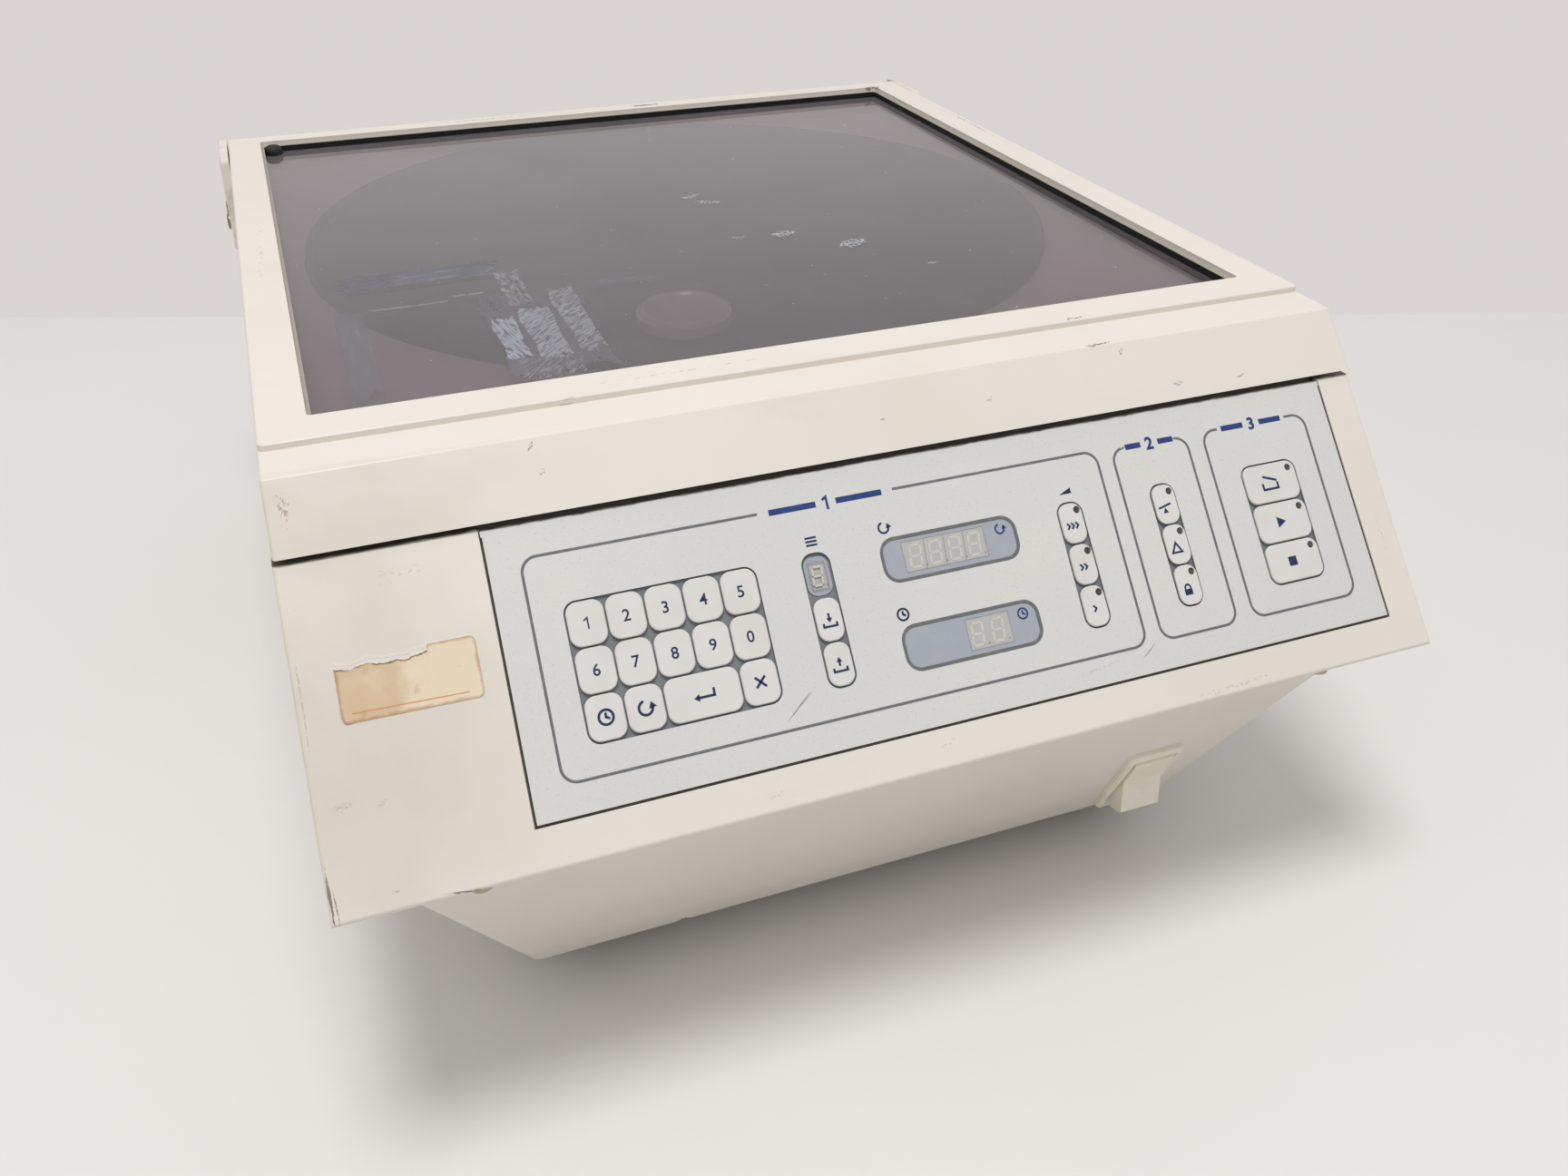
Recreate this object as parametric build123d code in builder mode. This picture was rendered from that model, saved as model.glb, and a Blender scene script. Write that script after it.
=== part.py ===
from build123d import *
import os
from math import asin, cos, radians, sin, sqrt, tan

os.makedirs("parts", exist_ok=True)

# Cytocentrifuge, millimetres. +X is right, +Y is back and +Z is up.
# The origin is on the bench, under the middle of the case.

# ---------------------------------------------------------------- driving dimensions
# Case
case_width = 390.0
case_depth = 500.0
case_height = 220.0
foot_height = 16.0
upper_height = 105.7  # from the tub's rim up to the lid's top
face_angle = 50.7  # slope of the console face, below the horizontal
lip_radius = 1.2
housing_wall = 5.0
housing_floor = 4.0
deck_rise = 8.3  # the chamber deck stands this much above the housing's rim
deck_wall = 4.0

# Lid
lid_gap = 2.6  # upright gap between lid and housing
brow_overhang = 2.0  # the brow stands proud of the console face
brow_length = 24.9
ledge_depth = 18.7
lid_wall = 3.0
lid_side_gap = 0.4
sheet_thickness = 2.4
sheet_side_inset = 0.9
sheet_rear_inset = 15.47  # from the case's rear face forward to the sheet
sheet_border_side = 15.8
sheet_border_front = 16.8
sheet_border_rear = 11.2

# Window in the lid
window_thickness = 4.0
window_overlap = 5.0
window_clearance = 0.4
gasket_height = 3.1
gasket_reveal = 1.5  # rubber showing inside the sheet's opening
seat_thickness = 2.5
seat_wall = 2.6
buffer_radius = 4.4
buffer_height = 4.8

# Lid hinge
pivot_inset = 13.2  # from the sheet's rear edge forward to the pin
pivot_drop = 12.0  # from the lid's top down to the pin
lid_tail = 16.1  # from the pin back to the lid's rear face
tail_radius = 16.4
pin_radius = 4.0
running_clearance = 0.05
pin_boss_radius = 8.0
pin_boss_depth = 4.0
cheek_thickness = 4.5
cheek_depth = 45.0
cheek_height = 51.5
cheek_lead = 19.8  # from the cheek's front edge back to the pin
cheek_top_drop = 0.5

# Spin chamber
chamber_margin = 14.8  # from the chamber's wall out to the edge of the window's opening
bowl_wall = 1.5
bowl_depth = 93.0
bowl_taper = 5.0
bowl_corner = 14.0
bowl_flange = 5.0
turret_height = 38.0
turret_base_radius = 46.0
turret_top_radius = 27.0
shaft_hole_radius = 11.0
rim_gasket_width = 4.0
lid_rest_gap = 0.3

# Drive
hub_radius = 23.1
hub_top_drop = 55.6  # from the lid's top down to the hub's face
hub_thickness = 7.0
hub_neck_radius = 12.0
hub_height = 13.0
shaft_radius = 6.0
motor_radius = 44.0
motor_height = 50.0
motor_collar_radius = 17.0
motor_collar_height = 9.0
motor_floor_gap = 6.0
bracket_size = 150.0
bracket_thickness = 3.0
mount_pitch = 116.0
mount_radius = 10.0
mount_height = 18.0

# Tub
tub_inset = 13.0
tub_draft = 26.5
tub_wall = 3.5
tub_flange = 8.0
tub_flange_thickness = 3.0
tub_corner = 4.0
foot_radius = 14.0
foot_inset_x = 26.0
foot_inset_y = 33.0
boss_height = 4.5
chassis_thickness = 2.0
chassis_side_gap = 15.0
chassis_end_gap = 20.0
chassis_pad_inset = 15.0
chassis_pad_radius = 9.0
chassis_hole_radius = 34.0
vent_slot_width = 3.0
vent_slot_length = 30.0
vent_pitch = 9.0
vent_count = 12

# Control panel. Places are (x, s): s runs down the face from its top edge.
panel_left_margin = 60.2
panel_right_margin = 14.2
panel_length = 91.0
panel_joint = 0.5
overlay_thickness = 1.6
backplate_thickness = 2.0
field_depth = 1.2
key_travel = 0.4
key_floor_gap = 0.1
key_rise = 0.5
key_width = 11.9
key_length = 14.0
key_pitch_x = 12.53
key_pitch_s = 14.65
key_corner = 3.6
key_spacing = 0.65  # gap from key to key and from key to the edge of its field
led_radius = 0.9
led_clearance = 0.35
led_offset_s = 4.4
board_gap = 5.4
board_thickness = 1.6
window_inset = 0.15

# Power rocker on the tub's front face
rocker_side_inset = 21.5  # from the tub's lower corner in to the rocker's middle
rocker_low = 26.24  # from the tub's lower edge up the face to the rocker's middle
bezel_width = 24.1
bezel_length = 44.7
bezel_rise = 2.5
bezel_body_width = 21.6
bezel_body_length = 41.4
bezel_body_depth = 24.0
rocker_width = 17.6
rocker_gap = 0.4
rocker_facet = 14.6
rocker_break_height = 8.3  # from the rocker's pin out to the line where its faces meet
rocker_swing = 29.5
rocker_pin_depth = 5.0
rocker_pin_radius = 1.6

# Rear panel and electrics
rear_bay_x = -115.0
rear_bay_rise = 37.7  # from the housing's lip up to the bay's middle
rear_bay_width = 100.0
rear_bay_height = 46.0
rear_bay_depth = 6.5
inlet_x = -137.0
inlet_width = 50.0
inlet_height = 27.0
inlet_flange = 2.5
inlet_body_width = 28.0
inlet_body_height = 21.0
inlet_body_depth = 24.0
fuse_x = -84.0
fuse_pitch = 21.0
fuse_radius = 6.0
fuse_flange_radius = 8.0
fuse_cap_rise = 5.5
transformer_inset = 56.0
transformer_headroom = 19.0
drive_board_gap = 28.0  # from the transformer's foot to the board
drive_board_inset = 14.0
electrics_front_gap = 16.0
electrics_rear_gap = 22.7

# Lid latch
latch_swing = 15.0
striker_thickness = 2.0
striker_width = 13.0
striker_reach = 24.8
striker_bar = 3.0
striker_window = 7.8
hook_width = 6.0
hook_pin_radius = 2.0
hook_pin_drop = 32.0  # from the chamber deck down to the hook's pin
hook_back = 13.0  # from the striker back to the hook's pin
hook_nose = 16.5
hook_nose_low = 20.5
hook_nose_high = 24.5
hook_arm = 14.0  # from the hook's pin down to the plunger's line
hook_fork = 2.0
latch_cheek_gap = 9.0
latch_plate = 2.0
plunger_radius = 3.5
plunger_neck = 1.5
plunger_groove = 3.8
solenoid_length = 30.0
solenoid_height = 18.0

# ---------------------------------------------------------------- worked-out places
slope_y = cos(radians(face_angle))
slope_z = sin(radians(face_angle))
half_width = case_width / 2
tub_height = case_height - foot_height - upper_height
draft_sin = sin(radians(tub_draft))
draft_cos = cos(radians(tub_draft))
tub_slope = tub_height / draft_cos
lip_setback = lip_radius * (1 / tan(radians(face_angle) / 2) - 1)
lip_y = -case_depth / 2 - lip_setback  # the sharp corner, before it is rounded
lip_z = foot_height + tub_height
shell_top_z = case_height - sheet_thickness
lid_bottom_z = shell_top_z - brow_length * slope_z
housing_top_z = lid_bottom_z - lid_gap
face_length = (housing_top_z - lip_z) / slope_z
face_top_y = lip_y + face_length * slope_y


def face_y(z):
    """Where the console face stands at height z."""
    return lip_y + (z - lip_z) * slope_y / slope_z


brow_bottom_y = face_y(lid_bottom_z) - brow_overhang / slope_z
fold_y = brow_bottom_y + brow_length * slope_y
sheet_front_y = fold_y + ledge_depth
sheet_rear_y = case_depth / 2 - sheet_rear_inset
sheet_depth = sheet_rear_y - sheet_front_y
sheet_half = half_width - sheet_side_inset
opening_half = sheet_half - sheet_border_side
opening_front_y = sheet_front_y + sheet_border_front
opening_rear_y = sheet_rear_y - sheet_border_rear
chamber_y = (opening_front_y + opening_rear_y) / 2
chamber_radius = min(opening_half, (opening_rear_y - opening_front_y) / 2) - chamber_margin
lid_half = half_width - lid_side_gap

pivot_y = sheet_rear_y - pivot_inset
pivot_z = case_height - pivot_drop
lid_rear_y = pivot_y + lid_tail
shelf_z = pivot_z - tail_radius - 1.0
shelf_y = chamber_y + chamber_radius + bowl_flange + 0.8
deck_z = housing_top_z + deck_rise

window_top_z = shell_top_z - gasket_height
window_bottom_z = window_top_z - window_thickness
seat_bottom_z = window_bottom_z - seat_thickness

tub_top_half_x = half_width - tub_inset
tub_top_half_y = case_depth / 2 - tub_inset
tub_floor_z = foot_height + tub_wall
tub_floor_half_x = tub_top_half_x - tub_height * draft_sin / draft_cos
tub_floor_half_y = tub_top_half_y - tub_height * draft_sin / draft_cos
foot_pitch_x = 2 * (tub_floor_half_x - foot_inset_x)
foot_pitch_y = 2 * (tub_floor_half_y - foot_inset_y)
chassis_width = 2 * (tub_floor_half_x - chassis_side_gap)
chassis_depth = 2 * (tub_floor_half_y - chassis_end_gap)
rocker_x = tub_floor_half_x - rocker_side_inset
rocker_v = tub_slope - rocker_low  # v runs down the tub's front face from its rim
rear_bay_z = lip_z + rear_bay_rise
panel_left = panel_left_margin - half_width
panel_right = half_width - panel_right_margin
panel_mid_x = (panel_left + panel_right) / 2
panel_width = panel_right - panel_left

face_plane = Plane(
    origin=(0, face_top_y, housing_top_z),
    x_dir=(1, 0, 0),
    z_dir=(0, -slope_z, slope_y),
)
tub_plane = Plane(
    origin=(0, -tub_top_half_y, lip_z),
    x_dir=(1, 0, 0),
    z_dir=(0, -draft_cos, -draft_sin),
)


def save(piece, name):
    """Labels a finished piece and writes its STEP file."""
    piece.part.label = name
    export_step(piece.part, f"parts/{name}.step")


# ---------------------------------------------------------------- base tub and feet
rocker_cut_clearance = 0.2
rocker_cut_width = bezel_body_width + 2 * rocker_cut_clearance
rocker_cut_length = bezel_body_length + 2 * rocker_cut_clearance
vent_row_low = 47.84  # from the tub's lower edge up the rear face to the vents' middle
tub_inner_half_x = tub_top_half_x - tub_wall / draft_cos
tub_inner_half_y = tub_top_half_y - tub_wall / draft_cos
flange_screw_radius = 2.0
flange_screw_inset = 30.0
flange_pitch_x = 2 * (tub_top_half_x + tub_flange / 2)
flange_pitch_y = 2 * (tub_top_half_y + tub_flange / 2)
side_screw_pitch = tub_top_half_y - flange_screw_inset
end_screw_pitch = 2 * (tub_top_half_x - flange_screw_inset)
rear_tub_plane = Plane(
    origin=(0, tub_top_half_y, lip_z),
    x_dir=(-1, 0, 0),
    z_dir=(0, draft_cos, -draft_sin),
)

with BuildPart() as base_tub:
    with BuildSketch(Plane.XY.offset(lip_z)):
        Rectangle(2 * tub_top_half_x, 2 * tub_top_half_y)
    extrude(amount=-tub_height, taper=tub_draft)
    fillet(base_tub.edges().group_by(Axis.Z)[1], tub_corner)
    fillet(base_tub.edges().group_by(Axis.Z)[0], tub_wall)
    with BuildSketch(Plane.XY.offset(lip_z)):
        Rectangle(2 * tub_inner_half_x, 2 * tub_inner_half_y)
    extrude(amount=tub_wall - tub_height, taper=tub_draft, mode=Mode.SUBTRACT)
    # rim flange that the upper housing is screwed down to
    with BuildSketch(Plane.XY.offset(lip_z)):
        RectangleRounded(2 * (tub_top_half_x + tub_flange), 2 * (tub_top_half_y + tub_flange), 6)
        Rectangle(2 * tub_top_half_x - 4, 2 * tub_top_half_y - 4, mode=Mode.SUBTRACT)
    extrude(amount=-tub_flange_thickness)
    # pads under the chassis plate
    with BuildSketch(Plane.XY.offset(tub_floor_z)):
        with GridLocations(
            chassis_width - 2 * chassis_pad_inset,
            chassis_depth - 2 * chassis_pad_inset,
            2,
            2,
        ):
            Circle(chassis_pad_radius)
    extrude(amount=boss_height)
    # opening for the power rocker
    with BuildSketch(tub_plane.offset(2)):
        with Locations((rocker_x, -rocker_v)):
            Rectangle(rocker_cut_width, rocker_cut_length)
    extrude(amount=-3 * tub_wall, mode=Mode.SUBTRACT)
    # vent slots in the sloping rear wall
    with BuildSketch(rear_tub_plane.offset(2)):
        with Locations((0, vent_row_low - tub_slope)):
            with GridLocations(vent_pitch, 1, vent_count, 1):
                SlotOverall(vent_slot_length, vent_slot_width, rotation=90)
    extrude(amount=-3 * tub_wall, mode=Mode.SUBTRACT)
    # holes for the flange screws
    with BuildSketch(Plane.XY.offset(lip_z)):
        with GridLocations(flange_pitch_x, side_screw_pitch, 2, 3):
            Circle(flange_screw_radius + running_clearance)
        with GridLocations(end_screw_pitch, flange_pitch_y, 2, 2):
            Circle(flange_screw_radius + running_clearance)
    extrude(amount=-tub_flange_thickness, mode=Mode.SUBTRACT)
save(base_tub, "base_tub")

with BuildPart() as rubber_feet:
    with GridLocations(foot_pitch_x, foot_pitch_y, 2, 2):
        Cone(foot_radius - 2, foot_radius, foot_height, align=(Align.CENTER, Align.CENTER, Align.MIN))
save(rubber_feet, "rubber_feet")

chassis_z = tub_floor_z + boss_height
pillar_height = motor_floor_gap + motor_height - mount_height
pillar_radius = 8.0

with BuildPart() as chassis_plate:
    with BuildSketch(Plane.XY.offset(chassis_z)):
        RectangleRounded(chassis_width, chassis_depth, 8)
        with Locations((0, chamber_y)):
            Circle(chassis_hole_radius, mode=Mode.SUBTRACT)
    extrude(amount=chassis_thickness)
    # pillars that carry the motor's rubber mounts
    with BuildSketch(Plane.XY.offset(chassis_z + chassis_thickness)):
        with Locations((0, chamber_y)):
            with GridLocations(mount_pitch, mount_pitch, 2, 2):
                Circle(pillar_radius)
    extrude(amount=pillar_height)
save(chassis_plate, "chassis_plate")

# ---------------------------------------------------------------- motor and drive
mount_bottom_z = chassis_z + chassis_thickness + pillar_height
bracket_z = mount_bottom_z + mount_height

with BuildPart() as motor_mounts:
    with BuildSketch(Plane.XY.offset(mount_bottom_z)):
        with Locations((0, chamber_y)):
            with GridLocations(mount_pitch, mount_pitch, 2, 2):
                Circle(mount_radius)
    extrude(amount=mount_height)
    fillet(motor_mounts.edges().filter_by(GeomType.CIRCLE), 1.5)
save(motor_mounts, "motor_mounts")

with BuildPart() as motor_bracket:
    with BuildSketch(Plane.XY.offset(bracket_z)):
        with Locations((0, chamber_y)):
            RectangleRounded(bracket_size, bracket_size, 16)
            Circle(motor_collar_radius + running_clearance, mode=Mode.SUBTRACT)
            with PolarLocations(motor_radius + 12, 4, start_angle=0):
                SlotOverall(22, 10, mode=Mode.SUBTRACT)
    extrude(amount=bracket_thickness)
save(motor_bracket, "motor_bracket")

motor_bottom_z = bracket_z - motor_height
collar_top_z = bracket_z + motor_collar_height
shaft_bottom_z = bracket_z - 14.0
motor_rib = 2.0

with BuildPart() as motor:
    with BuildSketch(Plane.XY.offset(motor_bottom_z)):
        with Locations((0, chamber_y)):
            Circle(motor_radius)
    extrude(amount=motor_height)
    fillet(motor.edges().group_by(Axis.Z)[0], 5)
    # band of cooling fins round the body
    with BuildSketch(Plane.XY.offset(motor_bottom_z + 10)):
        with Locations((0, chamber_y)):
            with PolarLocations(motor_radius, 24):
                Rectangle(2 * motor_rib, motor_rib, mode=Mode.ADD)
    extrude(amount=motor_height - 20)
    with BuildSketch(Plane.XY.offset(bracket_z)):
        with Locations((0, chamber_y)):
            Circle(motor_collar_radius)
    extrude(amount=motor_collar_height)
    with BuildSketch(Plane.XY.offset(shaft_bottom_z - 1)):
        with Locations((0, chamber_y)):
            Circle(shaft_radius + running_clearance)
    extrude(amount=collar_top_z - shaft_bottom_z + 1, mode=Mode.SUBTRACT)
save(motor, "motor")

hub_top_z = case_height - hub_top_drop
hub_bottom_z = hub_top_z - hub_height

with BuildPart() as motor_shaft:
    with BuildSketch(Plane.XY.offset(shaft_bottom_z)):
        with Locations((0, chamber_y)):
            Circle(shaft_radius)
    extrude(amount=hub_top_z - hub_thickness / 2 - shaft_bottom_z)
    chamfer(motor_shaft.edges().group_by(Axis.Z)[-1], 0.8)
save(motor_shaft, "motor_shaft")

# Turned hub: a disc with a stepped rim on a short neck, bored for the shaft
with BuildPart() as drive_hub:
    with BuildSketch(Plane(origin=(0, chamber_y, hub_bottom_z), x_dir=(1, 0, 0), z_dir=(0, -1, 0))):
        with BuildLine():
            Polyline(
                (0, 0),
                (hub_neck_radius, 0),
                (hub_neck_radius, hub_height - hub_thickness),
                (hub_radius, hub_height - hub_thickness),
                (hub_radius, hub_height - 2.2),
                (hub_radius - 1.4, hub_height - 2.2),
                (hub_radius - 1.4, hub_height - 0.5),
                (hub_radius - 2.0, hub_height),
                (hub_radius - 4.5, hub_height),
                (hub_radius - 5.0, hub_height - 0.6),
                (0, hub_height - 0.6),
                close=True,
            )
        make_face()
    revolve(axis=Axis((0, chamber_y, 0), (0, 0, 1)))
    with BuildSketch(Plane.XY.offset(hub_bottom_z)):
        with Locations((0, chamber_y)):
            Circle(shaft_radius)
    extrude(amount=hub_height - hub_thickness / 2, mode=Mode.SUBTRACT)
save(drive_hub, "drive_hub")

# ---------------------------------------------------------------- spin chamber
bowl_floor_z = deck_z + bowl_wall - bowl_depth
floor_radius = chamber_radius - bowl_taper
turret_top_z = bowl_floor_z + turret_height


def bowl_section(radius_step, floor_step, flange):
    """Half section of the bowl's skin, from the rim down and across to the turret's hole."""
    lines = [
        (chamber_radius + radius_step, deck_z + flange),
        (floor_radius + radius_step, bowl_floor_z + floor_step),
        (turret_base_radius, bowl_floor_z + floor_step),
        (turret_top_radius, turret_top_z + floor_step),
        (shaft_hole_radius, turret_top_z + floor_step),
    ]
    return lines


chamber_plane = Plane(origin=(0, chamber_y, 0), x_dir=(1, 0, 0), z_dir=(0, -1, 0))

with BuildPart() as spin_bowl:
    with BuildSketch(chamber_plane):
        with BuildLine():
            inner = bowl_section(0, 0, bowl_wall)
            outer = bowl_section(bowl_wall, -bowl_wall, 0)
            Polyline(
                *inner,
                outer[4],
                outer[3],
                outer[2],
                outer[1],
                outer[0],
                (chamber_radius + bowl_flange, deck_z),
                (chamber_radius + bowl_flange, deck_z + bowl_wall),
                close=True,
            )
        make_face()
    revolve(axis=Axis((0, chamber_y, 0), (0, 0, 1)))
    floor_edges = spin_bowl.edges().filter_by(GeomType.CIRCLE)
    inner_floor = floor_edges.filter_by(
        lambda e: abs(e.radius - floor_radius) < 0.01 and abs(e.center().Z - bowl_floor_z) < 0.01
    )
    outer_floor = floor_edges.filter_by(
        lambda e: abs(e.radius - floor_radius - bowl_wall) < 0.01 and e.center().Z < bowl_floor_z
    )
    fillet(inner_floor, bowl_corner)
    fillet(outer_floor, bowl_corner + bowl_wall)
save(spin_bowl, "spin_bowl")

rim_gasket_height = window_bottom_z - lid_rest_gap - deck_z - bowl_wall

with BuildPart() as bowl_gasket:
    with BuildSketch(Plane.XY.offset(deck_z + bowl_wall)):
        with Locations((0, chamber_y)):
            Circle(chamber_radius + bowl_flange - 0.5)
            Circle(chamber_radius + bowl_flange - 0.5 - rim_gasket_width, mode=Mode.SUBTRACT)
    extrude(amount=rim_gasket_height)
    fillet(bowl_gasket.edges().group_by(Axis.Z)[-1], 1.2)
save(bowl_gasket, "bowl_gasket")

# ---------------------------------------------------------------- upper housing
pocket_depth = overlay_thickness + backplate_thickness
deck_half = lid_half - lid_wall - 4.0
deck_front_y = fold_y + 4.0
roof_z = housing_top_z - housing_wall
inner_front_low = face_y(lip_z + housing_floor) + housing_wall / slope_z
inner_front_high = face_y(roof_z) + housing_wall / slope_z
slot_y = fold_y + 17.0
slot_half_x = 9.0
slot_half_y = 3.6
bay_wall = 3.0
cheek_screw_radius = 2.0
cheek_screw_z = shelf_z - 8.0
cheek_screw_y = (pivot_y - 9.7, pivot_y + 14.3)
flange_screw_grip = 3.5
rear_face = Plane(origin=(0, case_depth / 2, 0), x_dir=(-1, 0, 0), z_dir=(0, 1, 0))

with BuildPart() as upper_housing:
    with BuildSketch(Plane.YZ):
        with BuildLine():
            Polyline(
                (lip_y, lip_z),
                (face_top_y, housing_top_z),
                (shelf_y, housing_top_z),
                (shelf_y, shelf_z),
                (case_depth / 2, shelf_z),
                (case_depth / 2, lip_z),
                close=True,
            )
        make_face()
    extrude(amount=half_width, both=True)
    rear_uprights = upper_housing.edges().filter_by(Axis.Z).group_by(Axis.Y)[-1]
    fillet(rear_uprights, 8)
    console_face = upper_housing.faces().filter_by(face_plane)[0]
    lip_edge = console_face.edges().sort_by(Axis.Z)[0]
    fillet(console_face.edges().filter_by(Axis.X, reverse=True) + [lip_edge], lip_radius)
    # chamber deck, raised inside the lid's skirt
    with BuildSketch(Plane.XY.offset(housing_top_z)):
        with Locations((0, (deck_front_y + shelf_y) / 2)):
            RectangleRounded(2 * deck_half, shelf_y - deck_front_y, 8)
    extrude(amount=deck_rise)
    # hollow inside
    with BuildSketch(Plane.YZ):
        with BuildLine():
            Polyline(
                (inner_front_low, lip_z + housing_floor),
                (inner_front_high, roof_z),
                (shelf_y - housing_wall, roof_z),
                (shelf_y - housing_wall, shelf_z - housing_wall),
                (case_depth / 2 - housing_wall, shelf_z - housing_wall),
                (case_depth / 2 - housing_wall, lip_z + housing_floor),
                close=True,
            )
        make_face()
    extrude(amount=half_width - housing_wall, both=True, mode=Mode.SUBTRACT)
    with BuildSketch(Plane.XY.offset(deck_z - deck_wall)):
        with Locations((0, (deck_front_y + shelf_y) / 2)):
            RectangleRounded(2 * (deck_half - deck_wall), shelf_y - deck_front_y - 2 * housing_wall, 4)
    extrude(amount=-(deck_z - deck_wall - roof_z), mode=Mode.SUBTRACT)
    # open floor inside the rim that sits on the tub
    with BuildSketch(Plane.XY.offset(lip_z)):
        Rectangle(2 * (tub_top_half_x - tub_wall), 2 * (tub_top_half_y - tub_wall))
    extrude(amount=housing_floor, mode=Mode.SUBTRACT)
    # chamber hole
    with BuildSketch(Plane.XY.offset(deck_z)):
        with Locations((0, chamber_y)):
            Circle(chamber_radius + bowl_wall + 0.5)
    extrude(amount=-(deck_rise + 2 * housing_wall), mode=Mode.SUBTRACT)
    # seat of the control panel, and the opening behind it
    with BuildSketch(face_plane):
        with Locations((panel_mid_x, -(panel_length - 20) / 2)):
            Rectangle(panel_width, panel_length + 20)
    extrude(amount=-pocket_depth, mode=Mode.SUBTRACT)
    with BuildSketch(face_plane):
        with Locations((panel_mid_x, -panel_length / 2)):
            RectangleRounded(panel_width - 12, panel_length - 12, 4)
    extrude(amount=-2 * housing_wall, mode=Mode.SUBTRACT)
    # slot for the lid's striker
    with BuildSketch(Plane.XY.offset(deck_z)):
        with Locations((0, slot_y)):
            RectangleRounded(2 * slot_half_x, 2 * slot_half_y, 2)
    extrude(amount=-(deck_wall + 0.1), mode=Mode.SUBTRACT)
    # recessed bay for the mains inlet and the fuses
    with BuildSketch(rear_face):
        with Locations((-rear_bay_x, rear_bay_z)):
            RectangleRounded(rear_bay_width + 2 * bay_wall, rear_bay_height + 2 * bay_wall, 4)
    extrude(amount=-(rear_bay_depth + bay_wall))
    with BuildSketch(rear_face):
        with Locations((-rear_bay_x, rear_bay_z)):
            RectangleRounded(rear_bay_width, rear_bay_height, 3)
    extrude(amount=-rear_bay_depth, mode=Mode.SUBTRACT)
    with BuildSketch(rear_face):
        with Locations((-inlet_x, rear_bay_z)):
            Rectangle(inlet_body_width + 0.2, inlet_body_height + 0.2)
        with Locations((-fuse_x, rear_bay_z)):
            with GridLocations(1, fuse_pitch, 1, 2):
                Circle(fuse_radius + running_clearance)
    extrude(amount=-(rear_bay_depth + bay_wall), mode=Mode.SUBTRACT)
    # holes for the cheek screws and for the screws up through the tub's flange
    for side in (-1, 1):
        with BuildSketch(Plane(origin=(side * half_width, 0, 0), x_dir=(0, 1, 0), z_dir=(side, 0, 0))):
            with Locations(*[(y, side * cheek_screw_z) for y in cheek_screw_y]):
                Circle(cheek_screw_radius + running_clearance)
        extrude(amount=-housing_wall, mode=Mode.SUBTRACT)
    with BuildSketch(Plane.XY.offset(lip_z)):
        with GridLocations(flange_pitch_x, side_screw_pitch, 2, 3):
            Circle(flange_screw_radius + running_clearance)
        with GridLocations(end_screw_pitch, flange_pitch_y, 2, 2):
            Circle(flange_screw_radius + running_clearance)
    extrude(amount=flange_screw_grip, mode=Mode.SUBTRACT)
save(upper_housing, "upper_housing")

flange_head_radius = 4.0
flange_head_height = 2.5

with BuildPart() as housing_screws:
    head_z = lip_z - tub_flange_thickness - flange_head_height
    with BuildSketch(Plane.XY.offset(head_z)):
        with GridLocations(flange_pitch_x, side_screw_pitch, 2, 3):
            Circle(flange_head_radius)
        with GridLocations(end_screw_pitch, flange_pitch_y, 2, 2):
            Circle(flange_head_radius)
    extrude(amount=flange_head_height)
    with BuildSketch(Plane.XY.offset(head_z + flange_head_height)):
        with GridLocations(flange_pitch_x, side_screw_pitch, 2, 3):
            Circle(flange_screw_radius)
        with GridLocations(end_screw_pitch, flange_pitch_y, 2, 2):
            Circle(flange_screw_radius)
    extrude(amount=tub_flange_thickness + flange_screw_grip)
save(housing_screws, "housing_screws")

# ---------------------------------------------------------------- control panel
# Columns of cells, each (middle x, cell width, distance from the LED to the cell's right edge)
column_spread = panel_width / 315.6  # the columns keep their shares of the panel's width
keypad_x = panel_mid_x - 105.5 * column_spread
keys_s = 48.85
narrow_key = 8.9
wide_key = 22.4
narrow_led_edge = 1.85
wide_led_edge = 2.9
program_x = panel_mid_x - 53.4 * column_spread
display_x = panel_mid_x - 5.4 * column_spread
accel_x = panel_mid_x + 41.6 * column_spread
alarm_x = panel_mid_x + 79.3 * column_spread
control_x = panel_mid_x + 124.85 * column_spread
keypad_rows = (
    ("key_1", "key_2", "key_3", "key_4", "key_5"),
    ("key_6", "key_7", "key_8", "key_9", "key_0"),
    ("key_set_time", "key_set_speed", "key_enter", None, "key_cancel"),
)
columns = {
    program_x: (narrow_key, (None, "key_load", "key_save")),
    accel_x: (narrow_key, ("key_accel_high", "key_accel_medium", "key_accel_low")),
    control_x: (wide_key, ("key_open_lid", "key_start", "key_stop")),
}
led_places = {accel_x: (narrow_key, narrow_led_edge), alarm_x: (narrow_key, narrow_led_edge)}
led_places[control_x] = (wide_key, wide_led_edge)
field_columns = [(x, narrow_key) for x in (program_x, accel_x, alarm_x)]
field_columns.append((control_x, wide_key))
row_s = [keys_s + (row - 1) * key_pitch_s for row in range(3)]
field_length = key_length + 2 * key_pitch_s + 2 * key_spacing

# Display windows: (x, s, width, length along the slope, corner radius)
windows = {
    "speed": (display_x, 34.3, 48.9, 13.5, 4.5),
    "time": (display_x + 0.3, 63.9, 49.0, 13.7, 4.5),
    "program": (program_x, row_s[0], narrow_key, 13.2, 3.4),
}
# Display modules: (x, s, width, length)
modules = {
    "speed": (display_x - 2.1, 34.1, 30.4, 10.2),
    "time": (display_x + 6.4, 63.8, 16.0, 10.4),
    "program": (program_x, row_s[0], 5.6, 9.0),
}
window_ledge = 1.0


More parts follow.
